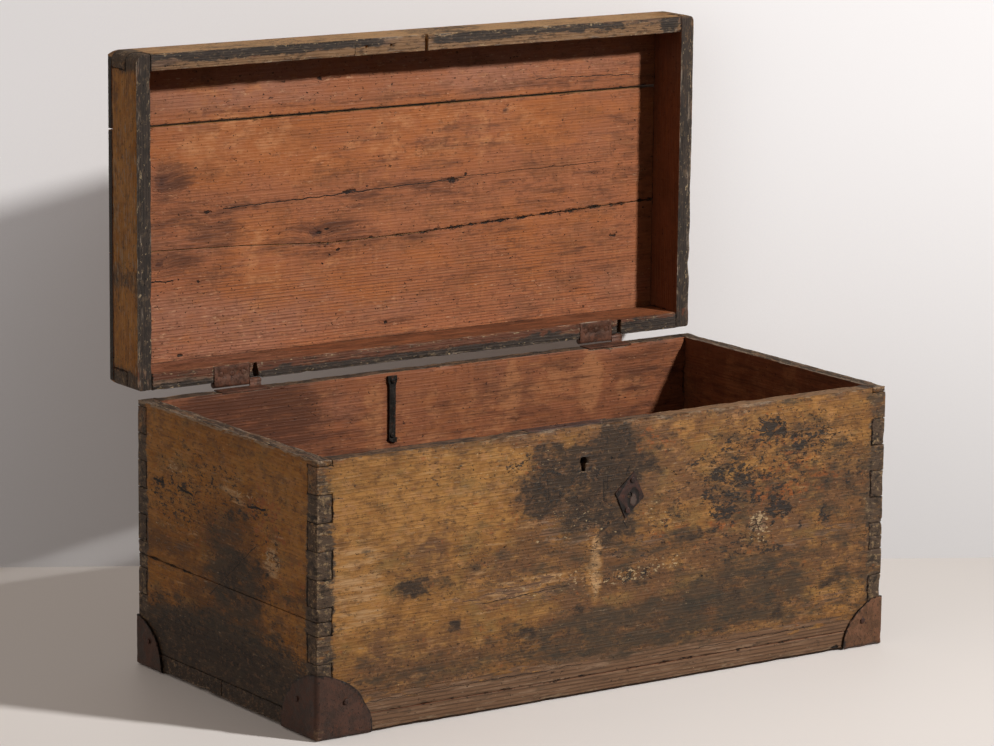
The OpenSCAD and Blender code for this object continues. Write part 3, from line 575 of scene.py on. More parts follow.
# Knots and splintered holes in the lid: place, height, radius, how many times wider than high
LID_KNOTS = [(-335, 235, 8, 1.1), (-338, 137, 5, 1.3), (-122, 156, 5, 1.6), (155, 286, 3.6, 1.1)]
LID_HOLES = [
    (-75, 202, 3.0, 2.4), (-66, 204, 2.2, 1.6), (77, 205, 3.4, 2.4), (96, 210, 2.2, 1.0),
    (-116, 156, 1.8, 2.4), (-104, 142, 2.0, 1.2), (-90, 133, 1.9, 1.3), (-111, 118, 1.6, 1.0),
    (-106, 160, 1.6, 2.2), (-101, 128, 1.3, 1.0), (-272, 194, 1.8, 3.0), (320, 115, 2.0, 2.6),
    (-20, 37, 2.0, 1.2), (-310, 25, 2.0, 2.4), (-115, 343, 2.8, 1.4), (-285, 112, 1.6, 1.2)]
# Splits in the boards: the two ends in mm, each with a width in mm
FRONT_SPLITS = [
    ((15, 201), (21, 190), 1.3), ((22.5, 264), (18, 254), 1.6), ((-14, 253), (-13, 227), 1.2),
    ((-8, 257), (-8.6, 240), 0.8), ((-92, 262), (-90, 236), 0.8), ((-180, 128), (-60, 134), 0.7),
    ((-330, 36), (-40, 38), 0.6), ((60, 33), (300, 36), 0.6), ((206, 183), (213, 163), 1.0),
    ((219, 181), (211, 167), 0.8), ((203, 171), (223, 172), 0.7)]
# Holes in the front: place, height, radius, how many times wider than high
FRONT_HOLES = [
    (-3, 276, 2.0, 1.0), (-6, 200, 1.5, 1.2), (23, 230, 3.6, 1.0), (331, 5, 2.4, 2.6),
    (-368, 60, 1.6, 1.0), (240, 290, 2.0, 2.0), (-150, 190, 1.2, 1.6), (130, 120, 1.2, 1.6)]
LEFT_SPLITS = [
    ((335, 230), (358, 231), 2.4), ((268, 228), (302, 232), 2.4), ((108, 241), (148, 239), 2.6),
    ((130, 196), (230, 120), 0.8)]
LID_SPLITS = [
    ((-250, 196), (95, 206.5), 1.0), ((-380, 118), (-318, 116), 1.4), ((200, 322), (350, 318), 0.8),
    ((60, 208), (300, 211), 0.6)]
RAIL_MARKS = {
    "rim_paint": [
        (-230, 392, 150, 10, 0.85), (80, 389, 260, 8, 0.7), (362, 386, 13, 14, 1.0),
        (-388, 200, 14, 200, 0.95), (388, 100, 14, 110, 0.9), (388, 330, 14, 70, 0.55),
        (388, 240, 14, 40, 0.7), (163, 9, 9, 8, 1.0), (187, 10, 7, 7, 0.9), (322, 18, 8, 4, 0.9),
        (-200, 9, 12, 6, 0.8), (0, 3, 400, 6, 1.0), (340, 8, 60, 8, 0.8)],
    "rim_brown": [
        (200, 382, 200, 12, 0.9), (-150, 378, 230, 9, 1.1), (-25, 386, 40, 14, 0.9),
        (390, 350, 12, 40, 0.5)],
    "rim_red": [(0, 18, 400, 11, 1.3)],
    "rim_worn": [
        (-25, 386, 40, 14, 1.0), (170, 378, 160, 8, 0.7), (0, 21, 400, 8, 0.7),
        (-120, 378, 200, 7, 0.9), (300, 382, 40, 10, 0.5)],
    # the front rail's top face is golden and tan: its rubbed paint, made lighter as a painted
    # highlight of the light falling on it from above
    "golden": [(0, 392, 420, 20, 1.2), (-395, 200, 20, 200, 0.9), (395, 200, 20, 200, 0.6)],
    "tan": [(0, 398, 372, 8, 1.3)],
    "wash": [
        (-396, 392, 20, 18, 1.0), (-396, 6, 20, 16, 1.0), (-396, 130, 20, 14, 0.6),
        (0, 0, 400, 30, 0.7), (40, 398, 60, 8, 0.5), (-250, 398, 60, 8, 0.35),
        (220, 398, 60, 8, 0.25), (-120, 398, 40, 8, 0.3)],
    "black": [
        (40, 398, 50, 8, 0.55), (-180, 398, 40, 8, 0.5), (330, 398, 40, 8, 0.35),
        (-300, 398, 30, 8, 0.4)],
    "rub": [(-396, 200, 5, 200, 0.4), (396, 200, 5, 200, 0.5)],
}


def marked(u, v, tables):
    """The densities that tables of ellipses give at places u, v in mm: full inside an ellipse,
    fading outside it."""
    found = {}
    for key, marks in tables.items():
        found[key] = np.zeros(len(u))
        for x, z, half_w, half_h, strength in marks:
            far = ((u - x) / half_w) ** 2 + ((v - z) / half_h) ** 2
            found[key] = np.maximum(found[key], strength * np.clip(1.5 - far, 0, 1))
    return found


# ---------------------------------------------------------------- worn boards

def cad_mesh(node):
    """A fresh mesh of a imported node, its corners joined and its flat faces whole."""
    made = bmesh.new()
    made.from_mesh(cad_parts[node].data)
    bmesh.ops.remove_doubles(made, verts=made.verts, dist=1e-5)
    bmesh.ops.dissolve_limit(made, angle_limit=0.02, verts=made.verts, edges=made.edges)
    return made


def sharp_edges(made, shortest):
    """The outward edges that are longer than a length."""
    return [e for e in made.edges if len(e.link_faces) == 2 and e.calc_length() > shortest
            and e.calc_face_angle_signed(0) > 0.6]


def cut_through(made, axis, places):
    """Cuts all faces with planes across an axis."""
    normal = Vector([float(i == axis) for i in range(3)])
    for place in places:
        bmesh.ops.bisect_plane(made, geom=made.verts[:] + made.edges[:] + made.faces[:],
                               dist=2e-6, plane_co=normal * place, plane_no=normal)


def cut_evenly(made, low, high, axis, cell):
    """Cuts all faces across an axis into cells of about a size."""
    size = high[axis] - low[axis]
    count = round(size / cell)
    cut_through(made, axis, [low[axis] + size * i / count for i in range(1, count)])


def round_corners(made, low, high, radii):
    """Rounds the lid off in its own plane. The radii are those of its lower left, lower right,
    upper left and upper right corner."""
    middle = (low + high) / 2
    for v in made.verts:
        right, upper = v.co.x > middle.x, v.co.z > middle.z
        radius = radii[2 * upper + right]
        centre = Vector((high.x - radius if right else low.x + radius, v.co.y,
                         high.z - radius if upper else low.z + radius))
        off = v.co - centre
        if (off.x > 0) == right and (off.z > 0) == upper and off.length > radius:
            v.co = centre + off.normalized() * radius


def box_round(nodes):
    """The lowest and the highest corner of the box round some nodes."""
    boxes = [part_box(node) for node in nodes]
    return Vector(map(min, *[b[0] for b in boxes])), Vector(map(max, *[b[1] for b in boxes]))


def worn_copy(node, group, look, level_joint, cuts=()):
    """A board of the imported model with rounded, rubbed edges and faces that are not quite flat.
    Its vertices carry how near they are to a joint and to a rubbed edge."""
    made = cad_mesh(node)
    others = [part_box(n) for n in group if n != node]
    low, high = box_round(group)
    # an edge is in a joint if another board comes this close
    near = (LID_SEAM if node in PLANKS else TOUCHING) * MM

    def in_joint(p):
        """Whether a place lies at another board, and not along an edge of the whole group."""
        limits = sum(min(abs(p[i] - low[i]), abs(p[i] - high[i])) < TOUCHING * MM
                     for i in range(3))
        if limits > 1:
            return False
        return any(all(b[0][i] - near < p[i] < b[1][i] + near for i in range(3)) for b in others)

    edges = sharp_edges(made, 5 * MM)
    ends = [v.co.copy() for e in edges if e.calc_length() > 15 * MM for v in e.verts]
    samples, upright = [], []
    for e in edges:
        a, b = (v.co.copy() for v in e.verts)
        count = max(2, int((b - a).length / (4 * MM)))
        samples += [a.lerp(b, i / count) for i in range(count + 1)]
        upright += [abs(a.z - b.z) > 10 * MM] * (count + 1)
    tree = kdtree.KDTree(len(samples))
    for i, p in enumerate(samples):
        tree.insert(p, i)
    tree.balance()
    joints = [in_joint(p) for p in samples]

    bmesh.ops.bevel(made, geom=edges, offset=look.rounding, offset_type="OFFSET", segments=2,
                    profile=0.6, affect="EDGES", clamp_overlap=True)
    start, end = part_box(node)
    for axis in sorted(range(3), key=lambda i: end[i] - start[i]):
        size = end[axis] - start[axis]
        count = max(2, round(size / look.cell))
        # a cut 3 mm to each side of every corner, and the even ones that aren't close to these
        corners = {round(e[axis], 4) for e in ends}
        close = sorted(c + side for c in corners for side in (-3 * MM, 3 * MM))
        close = [c for c in close if start[axis] + MM < c < end[axis] - MM]
        places = [start[axis] + size * i / count for i in range(1, count)]
        places = [p for p in places if all(abs(p - c) > 2 * MM for c in close)]
        cut_through(made, axis, sorted(places + close))
    for axis, place in cuts:
        if start[axis] + MM < place < end[axis] - MM:
            cut_through(made, axis, [place])
    made.normal_update()

    joint, rub = [], []
    for v in made.verts:
        p, i, far = tree.find(v.co)
        chip = max(0.0, noise.fractal(v.co / (22 * MM), 0.8, 2.1, 4))
        near_edge = max(0.0, 1 - far / ((JOINT_REACH if joints[i] else EDGE_REACH) * MM))
        if joints[i]:
            sunk = (0.2 + 0.6 * chip) * MM * near_edge
        else:
            sunk = (0.35 + look.edge_wear * 1000 * chip ** 1.5) * MM * near_edge ** 1.5
        # the boards' level joints are tight, and dirt shows in the upright ones
        joint.append(near_edge * (1.0 if upright[i] else level_joint) if joints[i] else 0.0)
        rub.append(0.0 if joints[i] else near_edge * (0.5 + 0.8 * chip))
        if joints[i] and node in PLANKS:
            # the lid's seams keep their width
            continue
        swell = 0.5 + 0.5 * noise.noise(v.co / (75 * MM)) + 0.18 * noise.noise(v.co / (14 * MM))
        v.co -= v.normal * (sunk + look.waviness * max(0.0, min(1.0, swell)))
    return made, np.array(joint), np.array(rub)


def finish_mesh(made, node, body, materials, densities, pick=lambda face: 0):
    """Makes a node's worn piece: a material for each face, the densities on its vertices, its
    body. Pick gives a face's material."""
    name = node + "_worn"
    if not made.faces:
        raise RuntimeError(f"{name} has no faces")
    data = bpy.data.meshes.new(name)
    for face in made.faces:
        face.smooth = True
        face.material_index = pick(face)
    bmesh.ops.triangulate(made, faces=[f for f in made.faces if len(f.verts) > 4])
    made.to_mesh(data)
    made.free()
    for material in materials:
        data.materials.append(material)
    for key, values in densities.items():
        layer = data.attributes.new(key, "FLOAT", "POINT")
        layer.data.foreach_set("value", np.asarray(values, np.float32))
    data.set_sharp_from_angle(angle=math.radians(40))
    piece = bpy.data.objects.new(name, data)
    bpy.context.scene.collection.objects.link(piece)
    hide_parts(node)
    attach(piece, body)


def on_front(x, z):
    """A place on the front board in mm as a point in metres."""
    return Vector((x * MM, FRONT_Y, z * MM))


def on_left(y, z):
    """A place on the left side in mm, Y from the front, as a point in metres."""
    return Vector((-HALF_W, FRONT_Y + y * MM, z * MM))


def places_mm(made):
    """Places of all vertices in mm, with Y from the front board's outer face."""
    co = np.array([v.co for v in made.verts]) * 1000
    co[:, 1] -= FRONT_Y * 1000
    return co


# ---------------------------------------------------------------- settings

def colour_setting(name, description, code):
    return FloatVectorProperty(name=name, description=description, subtype="COLOR", size=3,
                               min=0.0, max=1.0, default=linear(code)[:3])


def length_setting(name, description, least, most, default, precision=4):
    return FloatProperty(name=name, description=description, subtype="DISTANCE", unit="LENGTH",
                         min=least, max=most, default=default, precision=precision)


class ChestFinishColours(bpy.types.PropertyGroup):
    """Colours of the chest's paint, stain and bare wood."""

    ochre: colour_setting("Ochre paint", "Most of the outside paint", "#875d30")
    ochre_bright: colour_setting("Rubbed ochre", "Paint that is rubbed bright", "#a57842")
    ochre_dull: colour_setting("Dull ochre", "Paint that is dull with dirt", "#65472f")
    ochre_red: colour_setting("Reddened ochre", "Paint that has turned red", "#8f4f25")
    side_ochre: colour_setting("Side paint", "Most of the sides' paint", "#895516")
    side_bright: colour_setting("Rubbed side paint", "Side paint that is rubbed bright", "#9e6a25")
    side_dull: colour_setting("Dull side paint", "Side paint that is dull with dirt", "#633e17")
    brushed: colour_setting("Brush marks", "Dirt in the paint's brush marks", "#4a3320")
    wash: colour_setting("Dirt", "Dirt wiped over the paint", "#3f3327")
    black: colour_setting("Black paint", "Flakes of black paint", "#262321")
    slate: colour_setting("Slate paint", "Thin grey paint", "#32271e")
    rim_slate: colour_setting("Slate rim paint", "Old paint on the sawn edges", "#342d29")
    bare_wood: colour_setting("Bare wood", "Wood where the paint has gone", "#6e523d")
    late_wood: colour_setting("Bare late wood", "The bare wood's dark rings", "#4a3527")
    weathered: colour_setting("Weathered edges", "Wood of the boards' ends", "#4a3b2f")
    rim_wood: colour_setting("Rim wood", "Wood of the boards' sawn edges", "#654f41")
    stain: colour_setting("Stain", "Most of the inside", "#93593a")
    stain_pink: colour_setting("Pink stain", "Where the stain is pink", "#97654f")
    stain_rubbed: colour_setting("Rubbed stain", "Where the stain is rubbed bright", "#b0764d")
    stain_late: colour_setting("Stained late wood", "The stained wood's dark rings", "#5a3421")
    # painted shade: the colour laid over inner faces that stand in shade
    stain_deep: colour_setting("Deep stain", "Where the stain is thickest", "#371a10")
    stain_dark: colour_setting("Dark stain", "Dirt inside", "#482a1d")


class ChestFinishWear(bpy.types.PropertyGroup):
    """Sizes of the chest's wear."""

    rounding: length_setting(
        "Rounded corners", "Radius of the boards' corners", 0.0003, 0.003, 0.0011)
    edge_wear: length_setting(
        "Edge wear", "Depth of the chips along the boards' edges", 0.0, 0.008, 0.0042)
    waviness: length_setting(
        "Waviness", "How far the boards' faces are from flat", 0.0, 0.001, 0.0005)
    cell: length_setting("Mesh cell", "Size of the boards' mesh cells", 0.004, 0.03, 0.009, 3)
    dents: length_setting("Dents", "Depth of the dents in the corner caps", 0.0, 0.002, 0.0016)


class LookView:
    """The two groups read as one, with an alpha on each colour."""

    def __init__(self, scene):
        self.groups = (scene.chest_colours, scene.chest_wear)

    def __getattr__(self, key):
        for group in self.groups:
            if key in group.bl_rna.properties:
                value = getattr(group, key)
                return value if isinstance(value, float) else (*value, 1.0)
        raise AttributeError(key)


# ---------------------------------------------------------------- operators

# Along the fibres of a board, and across its rings
X, Y, Z = (1, 0, 0), (0, 1, 0), (0, 0, 1)
ACROSS_FRONT, ACROSS_SIDE = (0, 0.4, 0.92), (0.4, 0, 0.92)


class DressChestBoards(bpy.types.Operator):
    """Makes the worn boards of the chest's walls and bottom"""

    bl_idname = "chest.dress_boards"
    bl_label = "Chest boards"

    def execute(self, context):
        look = LookView(context.scene)
        front_splits = [(on_front(*a), on_front(*b), wide) for a, b, wide in FRONT_SPLITS]
        side_splits = [(on_left(*a), on_left(*b), wide) for a, b, wide in LEFT_SPLITS]
        front_holes = [(*on_front(x, z), r * MM, wide) for x, z, r, wide in FRONT_HOLES]
        # the inner faces get painted shade, more on the sides than on the front and back
        long_materials = [
            painted_pine("ochre_paint_on_long_pine", X, ACROSS_FRONT, look, front_splits,
                         front_holes),
            stained_pine("red_stain_on_pine", X, ACROSS_FRONT, look, painted_shade=0.34),
            weathered_pine("sawn_pine_rim", X, (0, 0.92, 0.4), look)]
        side_materials = [
            painted_pine("ochre_paint_on_side_pine", Y, ACROSS_SIDE, look, side_splits, side=True),
            stained_pine("red_stain_on_side_pine", Y, ACROSS_SIDE, look, painted_shade=0.5),
            weathered_pine("sawn_pine_side_rim", Y, (0.92, 0, 0.4), look)]
        for node in WALLS:
            side = node.startswith(("left", "right"))
            inner = -1 if node.startswith("right") else 1
            made, joint, rub = worn_copy(node, WALLS, look, 0.5)
            co = places_mm(made)
            # u runs across the board as it is seen from outside, v is the height
            u, v = co[:, 0], co[:, 2]
            across_inside = u
            marks = FRONT_MARKS
            if side:
                marks = LEFT_MARKS
                u = across_inside = co[:, 1] if node.startswith("left") else CHEST_DEPTH - co[:, 1]
                # only the rear half of the seam between the side boards has opened
                at_seam = (np.abs(v - SIDE_SEAM) < 6) & (co[:, 1] < REAR_FINGERS)
                opened = np.clip((co[:, 1] - 225) / 60, 0.15, 1)
                joint = np.where(at_seam, 2 * joint * opened, joint)
            elif node == "back_wall":
                marks, u = BACK_MARKS, -u
            densities = {**marked(u, v, marks), **marked(across_inside, v, INSIDE_MARKS)}
            densities["joint"], densities["rub"] = joint, rub
            densities["rim_paint"] = 0.45 + 0.3 * (np.abs(co[:, 0]) > LONG_FINGERS)
            densities["rim_brown"] = 0.5 * np.ones(len(v))
            if node == "front_wall":
                densities["ends"] *= 0.72
                # the front's rim is rubbed to brown wood at the right
                right = np.clip((u - 40) / 60, 0, 1) * (u < LONG_FINGERS)
                densities["rim_paint"] -= 0.35 * right
                densities["rim_brown"] += 0.5 * right
            if node.startswith("bottom"):
                # the ends are as dark as the sides over them
                at_end = np.abs(u) > 396
                densities["bare"] = np.where(at_end, 0, np.maximum(densities["bare"], 1.0))
                densities["wash"] = np.maximum(densities["wash"], 1.2 * at_end)
                densities["film"] = np.maximum(densities["film"], 0.9 * at_end)
            if side:
                # the sides' rims are worn grey
                densities["rim_paint"] -= 0.25
                densities["rub"] = rub + 0.35 * (v > RIM_Z * 1000 - 3)

            def pick(face):
                """The outside, the inside or the rim, as 0, 1 or 2."""
                n, c = face.normal, face.calc_center_median()
                if node.startswith("bottom"):
                    return 1 if n.z > 0.7 and abs(c.x) < HALF_W - 0.02 else 0
                if n.z > 0.7 and c.z > RIM_Z - 0.004:
                    return 2
                if side:
                    return 1 if n.x * inner > 0.5 else 0
                return 1 if (n.y > 0.5) == (node == "front_wall") and abs(n.y) > 0.5 else 0

            finish_mesh(made, node, "chest",
                        side_materials if side else long_materials, densities, pick)
        return {"FINISHED"}


class DressLidBoards(bpy.types.Operator):
    """Makes the worn rails and planks of the lid"""

    bl_idname = "chest.dress_lid"
    bl_label = "Lid boards"

    def execute(self, context):
        look = LookView(context.scene)
        # the planks' inner faces stand in one plane
        panel_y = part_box("lid_plank_middle")[0].y

        def on_panel(x, s):
            """A place on the lid's panel in mm as a point in metres."""
            return x * MM, panel_y, LID_Z + s * MM

        splits = [(on_panel(*a), on_panel(*b), wide) for a, b, wide in LID_SPLITS]
        knots, holes = ([(*on_panel(x, s), r * MM, wide) for x, s, r, wide in marks]
                        for marks in (LID_KNOTS, LID_HOLES))
        outside = painted_pine("ochre_paint_on_lid_planks", X, ACROSS_FRONT, look)
        rim = weathered_pine("black_edge_of_lid_rails", X, ACROSS_FRONT, look, 0.02)
        plank_materials = [
            outside,
            stained_pine("red_stain_on_lid_planks", X, (0, 0.3, 0.95), look, knots, holes, splits),
            rim]
        # the rails' inner faces get painted shade, more on the upright ones
        level_materials = [
            outside,
            stained_pine("red_stain_on_lid_rails", X, (0, 0.92, 0.4), look, painted_shade=0.15),
            rim]
        upright_materials = [
            painted_pine("ochre_paint_on_lid_ends", Z, (0.4, 0.92, 0), look, side=True),
            stained_pine("red_stain_on_lid_ends", Z, (0.3, 0.95, 0), look, painted_shade=0.45),
            weathered_pine("black_edge_of_lid_ends", Z, (0.92, 0.4, 0), look, 0.06)]
        inward_of = {"lid_front_rail": Vector((0, 0, -1)), "lid_back_rail": Vector((0, 0, 1)),
                     "lid_left_rail": Vector((1, 0, 0)), "lid_right_rail": Vector((-1, 0, 0))}
        group = RAILS + PLANKS
        low, high = box_round(group)
        # more vertices where the corners are rounded
        cuts = [(axis, edge + inward * off * MM) for axis in (0, 2)
                for edge, inward in ((low[axis], 1), (high[axis], -1))
                for off in (1.5, 5, 7, 9.5, 12)]
        for node in group:
            rail = node in RAILS
            made, joint, rub = worn_copy(node, group, look, 0.9, cuts)
            if node == "lid_plank_middle":
                # its outer edge closes the seam to the light, but for the seam's ends
                inner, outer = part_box(node)
                for v in made.verts:
                    if v.co.z > outer.z - 1.5 * MM and -0.385 < v.co.x < 0.392:
                        v.co.z += 0.9 * MM * (v.co.y - inner.y) / (outer.y - inner.y)
            round_corners(made, low, high, LID_CORNERS)
            # u runs along the hinges, s from the hinges to the front edge
            co = places_mm(made)
            u, s = co[:, 0], co[:, 2] - LID_Z * 1000
            densities = {"joint": joint, **marked(u, s, LID_MARKS)}
            if rail:
                densities.update(marked(u, s, RAIL_MARKS))
                rub = np.maximum(rub, densities["rub"])
            else:
                densities.update({key: 0.3 * np.ones(len(u)) for key in RAIL_MARKS})
                # the seam between the middle and the rear plank is tight at its left end
                joint *= np.where(s < 215, np.clip((u + 200) / 240, 0.2, 1), 0.55)
                # outside they are worn as the chest's back is, and their ends are black
                densities.update(marked(-u, 0.85 * s, BACK_MARKS))
                densities["golden"] = np.maximum(0.5, densities["golden"])
                for key in ("film", "black"):
                    densities[key] = np.maximum(densities[key], 1.3 * (np.abs(u) > 399))
            densities["rub"] = rub
            # the rails' corners are grey and rough
            densities["ends"] = 0.45 * ((np.abs(u) > 378) & (np.abs(s - 197) > 178) & rail)
            inward = inward_of.get(node, Vector((0, -1, 0)))

            def pick(face):
                """The outside, the inside or the rim, as 0, 1 or 2."""
                if face.normal.dot(inward) > 0.6:
                    return 1
                return 2 if rail and face.normal.y < -0.6 else 0

            materials = plank_materials
            if rail:
                materials = upright_materials if inward.x else level_materials
            finish_mesh(made, node, "lid", materials, densities, pick)
        return {"FINISHED"}


class DressCaps(bpy.types.Operator):
    """Makes the dented sheet-iron caps of the bottom corners"""

    bl_idname = "chest.dress_caps"
    bl_label = "Corner caps"

    def execute(self, context):
        look = LookView(context.scene)
        irons = {
            "left": rusted_iron("rusted_sheet_iron", "#32231c", "#4c3329", "#67503f", 2.5, 0.42),
            "right": rusted_iron("browned_sheet_iron", "#4f3624", "#724f3a", "#886a56", 2.5, 0.45)}
        for node in CAPS:
            made = cad_mesh(node)
            low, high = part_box(node)
            corner = Vector((low.x if low.x + high.x < 0 else high.x,
                             low.y if low.y + high.y < 0 else high.y, low.z))
            for axis in (2, 1, 0):
                cut_evenly(made, low, high, axis, 4.5 * MM)
            made.normal_update()
            rub, edge = [], []
            for v in made.verts:
                # from the corner the cap reaches out to 1
                far = (v.co - corner).length / (high.z - low.z)
                dent = 0.8 * noise.noise(v.co / (17 * MM)) + 0.25 * noise.noise(v.co / (6 * MM))
                bent = max(0.0, 0.3 + noise.noise(v.co / (24 * MM) + Vector((7, 3, 1))))
                ragged = max(0.0, (far - 0.9) / 0.1) * bent * 1.8 * MM
                v.co -= (v.normal * (look.dents * max(0.0, dent))
                         + (v.co - corner).normalized() * ragged)
                rub.append(max(0.0, 1.0 - 3.0 * far) + max(0.0, far - 0.9) * 4)
                # painted shade along the cap's outer edge, where it stands off the wood
                edge.append(max(0.0, (far - 0.95) * 14))
            bmesh.ops.recalc_face_normals(made, faces=made.faces)
            finish_mesh(made, node, "chest", [irons[node.split("_")[-1]]],
                        {"rub": rub, "edge": edge})
        return {"FINISHED"}


def iron_copies(nodes, body, material, rounding_mm, rough_mm):
    """Packed iron pieces with their edges filed round and their faces left uneven by the hammer."""
    for node in nodes:
        made = cad_mesh(node)
        bmesh.ops.bevel(made, geom=sharp_edges(made, 0), offset=rounding_mm * MM, segments=2,
                        offset_type="OFFSET", profile=0.5, affect="EDGES", clamp_overlap=True)
        made.normal_update()
        for v in made.verts:
            v.co -= v.normal * (rough_mm * MM * max(0.0, noise.noise(v.co / (5 * MM)) + 0.2))
        finish_mesh(made, node, body, [material], {"rub": [0.3] * len(made.verts)})


class DressLock(bpy.types.Operator):
    """Makes the let-in lock, its bolt and its nails"""

    bl_idname = "chest.dress_lock"
    bl_label = "Lock"

    def execute(self, context):
        iron = rusted_iron("rusted_lock_plate", "#33292a", "#523a30", "#6a5c55", 2.0, 0.45)
        case = ("lock_case", "lock_cover", "lock_nails")
        iron_copies(case, "chest", iron, 0.35, 0.1)
        iron_copies(("lock_bolt",), "bolt", iron, 0.8, 0.1)
        return {"FINISHED"}


def forged_plate(node, material):
    """The diamond plate, hammered: a groove runs along its upper left edge, and another round a
    flat leaf in its lower right half."""
    made = cad_mesh(node)
    low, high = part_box(node)
    for axis in (0, 2):
        cut_evenly(made, low, high, axis, 1.4 * MM)
    made.normal_update()
    middle = (low + high) / 2
    rub, edge = [], []
    for v in made.verts:
        x, z = (v.co.x - middle.x) / MM, (v.co.z - middle.z) / MM
        hollow = math.hypot((x - 5.2) / 4.6, (z + 6.0) / 7.6)
        rim = math.exp(-((hollow - 1.45) / 0.42) ** 2)
        # how far inside the upper left and lower left edges, in mm
        upper = (20.5 + x) * 0.795 - z * 0.607
        lower = (20.5 + x) * 0.795 + z * 0.607
        groove = math.exp(-((upper - 2.6) / 0.9) ** 2)
        if v.co.y < low.y + 0.3 * MM:
            beaten = 0.25 + 0.25 * noise.noise(v.co / (6 * MM)) + 0.7 * rim + 0.85 * groove
            v.co.y += min(1.15, max(0.0, beaten - 0.3 * max(0.0, 1 - hollow))) * MM
        rub.append(1.2 if hollow < 0.9 else 0.25)
        # painted shade in the grooves and along the left edges
        edge.append(max(1.5 * groove, 1.4 * rim, 1.4 * math.exp(-(lower / 2.6) ** 2),
                        0.9 * math.exp(-(upper / 1.2) ** 2)))
    finish_mesh(made, node, "chest", [material], {"rub": rub, "edge": edge})


class DressPlates(bpy.types.Operator):
    """Makes the diamond plate on the front and the strap inside the back"""

    bl_idname = "chest.dress_plates"
    bl_label = "Plates"

    def execute(self, context):
        plate = rusted_iron("forged_iron_plate", "#261a17", "#3e2823", "#564a44", 2.0, 0.45)
        strap = rusted_iron("blackened_iron_strap", "#12100e", "#201a16", "#3b3530", 2.5, 0.45)
        forged_plate("diamond_plate", plate)
        iron_copies(("diamond_nails",), "chest", plate, 0.5, 0.2)
        iron_copies(("back_strap", "strap_nails"), "chest", strap, 0.6, 0.3)
        return {"FINISHED"}


class DressHinges(bpy.types.Operator):
    """Makes the leaves, pins and nails of the two hinges"""

    bl_idname = "chest.dress_hinges"
    bl_label = "Hinges"

    def execute(self, context):
        iron = rusted_iron("wrought_iron_hinge", "#3d281f", "#5c3a2b", "#6a5245", 2.0, 0.42)
        for body in ("chest", "lid"):
            leaves = [f"{body}_leaf_{part}" for part in ("left", "right", "nails")]
            iron_copies(leaves, body, iron, 0.3, 0.08)
        iron_copies(("hinge_pin_left", "hinge_pin_right"), "chest", iron, 0.4, 0.05)
        return {"FINISHED"}


class DressNails(bpy.types.Operator):
    """Makes the nails of the boards and of the caps"""

    bl_idname = "chest.dress_nails"
    bl_label = "Nails"

    def execute(self, context):
        iron = rusted_iron("wrought_nail_heads", "#261c19", "#4a2f26", "#6a5a50", 1.5, 0.45)
        iron_copies(("cap_nails", "bottom_nails"), "chest", iron, 0.5, 0.15)
        iron_copies(("lid_nails",), "lid", iron, 0.4, 0.1)
        return {"FINISHED"}


def stage_sheet(name, material, corners, *unseen):
    """Makes a flat sheet of the stage, unseen by the kinds of light named."""
    data = bpy.data.meshes.new(name)
    data.from_pydata(corners, [], [(0, 1, 2, 3)])
    data.materials.append(material)
    sheet = bpy.data.objects.new(name, data)
    bpy.context.scene.collection.objects.link(sheet)
    for kind in unseen:
        setattr(sheet, "visible_" + kind, False)


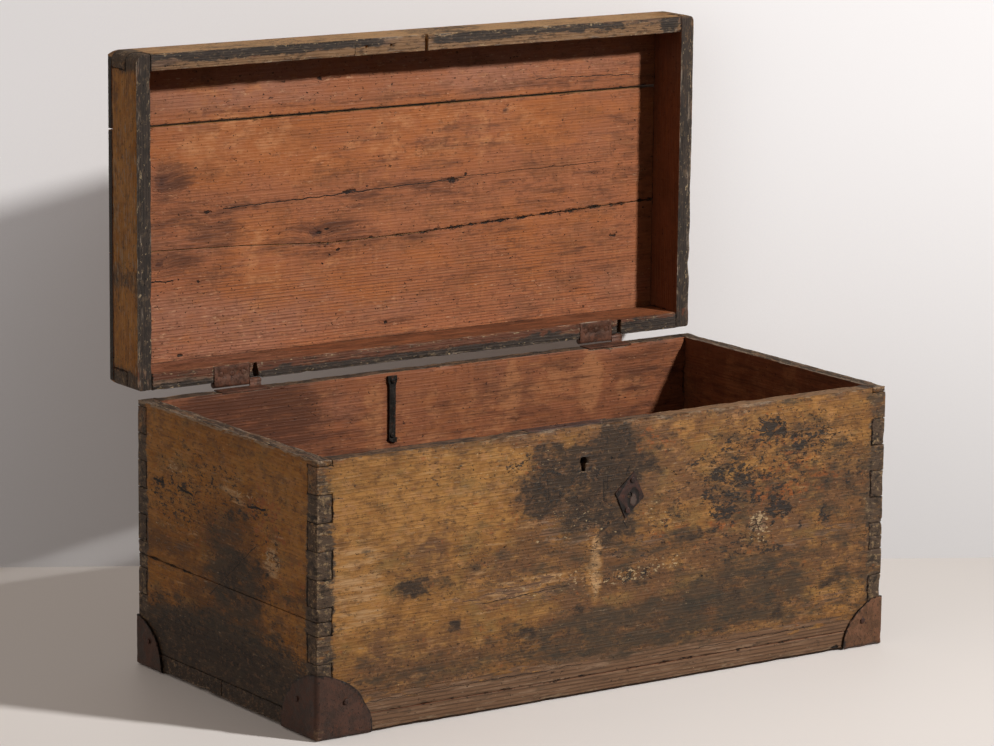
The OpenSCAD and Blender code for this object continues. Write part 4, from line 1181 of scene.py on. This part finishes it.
class MakeStage(bpy.types.Operator):
    """Makes the pale floor and wall, the soft lights and the camera"""

    bl_idname = "chest.make_stage"
    bl_label = "Stage"

    def execute(self, context):
        scene = context.scene
        made, tree = new_material("pale_studio_floor")
        shader = add(tree, "BsdfPrincipled", {}, {
            "Base Color": linear("#e6e3e2"), "Roughness": 0.5})
        add(tree, "OutputMaterial", {}, {"Surface": shader})
        half = 14
        stage_sheet("floor", made, [
            (-half, -half, 0), (half, -half, 0), (half, half, 0), (-half, half, 0)], "diffuse")

        # a pale wall close behind, seen from its front only
        made, tree = new_material("pale_studio_wall")
        shader = add(tree, "BsdfPrincipled", {}, {
            "Base Color": linear("#eeeef1"), "Roughness": 0.7})
        # the room's fill light on it, dimmed where something stands close before it
        open_to_room = add(tree, "AmbientOcclusion", {"samples": 4}, {"Distance": 0.6}, 1)
        fill = reckoned(tree, "POWER", open_to_room, 1.7)
        fill = reckoned(tree, "MULTIPLY", fill, 0.20)
        fill = add(tree, "Emission", {}, {"Color": linear("#f6f6fb"), "Strength": fill})
        shader = add(tree, "AddShader", {}, {0: shader, 1: fill})
        see_through = add(tree, "BsdfTransparent", {}, {})
        behind = add(tree, "NewGeometry", {}, {}, "Backfacing")
        shown = add(tree, "MixShader", {}, {0: behind, 1: shader, 2: see_through})
        add(tree, "OutputMaterial", {}, {"Surface": shown})
        run, rise = Vector((0.870, -0.492, 0)) * 9, Vector((0, 0, 4))
        foot = Vector((0.4, 0.262, 0))
        stage_sheet("wall", made, [foot - run, foot + run, foot + run + rise, foot - run + rise],
                    "diffuse", "glossy", "shadow")

        world = bpy.data.worlds.new("soft_room")
        scene.world = world
        world.use_nodes = True
        tree = world.node_tree
        tree.nodes.clear()
        # a soft room whose light comes from behind and from the left, and little from the front
        toward = add(tree, "TexCoord", {}, {}, "Generated")
        toward = vectored(tree, "DOT_PRODUCT", toward, (-0.64, 0.70, 0.32))
        level = mapped(tree, toward, -0.5, 1.0, 0.085, 0.56)
        light = add(tree, "Background", {}, {"Color": linear("#fff1e5"), "Strength": level})
        add(tree, "OutputWorld", {}, {"Surface": light})

        key = bpy.data.lights.new("key", "AREA")
        key.shape = "DISK"
        key.size = 0.32
        key.energy = 32.7
        key.spread = math.radians(68)
        key.color = linear("#fffbf6")[:3]
        lamp = bpy.data.objects.new("key", key)
        # right of the front and well above the open lid, aimed at the chest's middle
        lamp.location = (1.762, -3.226, 2.686)
        lamp.rotation_mode = "QUATERNION"
        lamp.rotation_quaternion = (lamp.location - Vector((0, 0, 0.35))).to_track_quat("Z", "Y")
        scene.collection.objects.link(lamp)

        lens = bpy.data.cameras.new("camera")
        lens.sensor_width = 36.0
        lens.lens = 159.6
        lens.clip_end = 100.0
        camera = bpy.data.objects.new("camera", lens)
        scene.collection.objects.link(camera)
        right = Vector((0.82586, -0.56378, 0.01041))
        up = Vector((0.10228, 0.16792, 0.98048))
        back = -Vector((0.55453, 0.80867, -0.19634))
        turn = Matrix((right, up, back)).transposed()
        camera.matrix_world = Matrix.Translation((-2.897, -4.218, 1.360)) @ turn.to_4x4()
        scene.camera = camera
        scene.view_settings.view_transform = "Standard"
        return {"FINISHED"}


STEPS = (DressChestBoards, DressLidBoards, DressCaps, DressLock, DressPlates, DressHinges,
         DressNails, MakeStage)


class ChestFinishPanel(bpy.types.Panel):
    """Lists the steps and the settings"""

    bl_idname = "VIEW3D_PT_chest_finish"
    bl_label = "Chest finish"
    bl_space_type = "VIEW_3D"
    bl_region_type = "UI"
    bl_category = "Chest"

    def draw(self, context):
        for step in STEPS:
            self.layout.operator(step.bl_idname)
        for group in (context.scene.chest_wear, context.scene.chest_colours):
            for key in group.__annotations__:
                self.layout.prop(group, key)


CLASSES = (ChestFinishColours, ChestFinishWear) + STEPS + (ChestFinishPanel,)


def register():
    for cls in CLASSES:
        bpy.utils.register_class(cls)
    bpy.types.Scene.chest_colours = PointerProperty(type=ChestFinishColours)
    bpy.types.Scene.chest_wear = PointerProperty(type=ChestFinishWear)


def unregister():
    del bpy.types.Scene.chest_wear
    del bpy.types.Scene.chest_colours
    for cls in reversed(CLASSES):
        bpy.utils.unregister_class(cls)


def main():
    register()
    for step in STEPS:
        space, name = step.bl_idname.split(".")
        getattr(getattr(bpy.ops, space), name)()


if __name__ == "__main__":
    main()
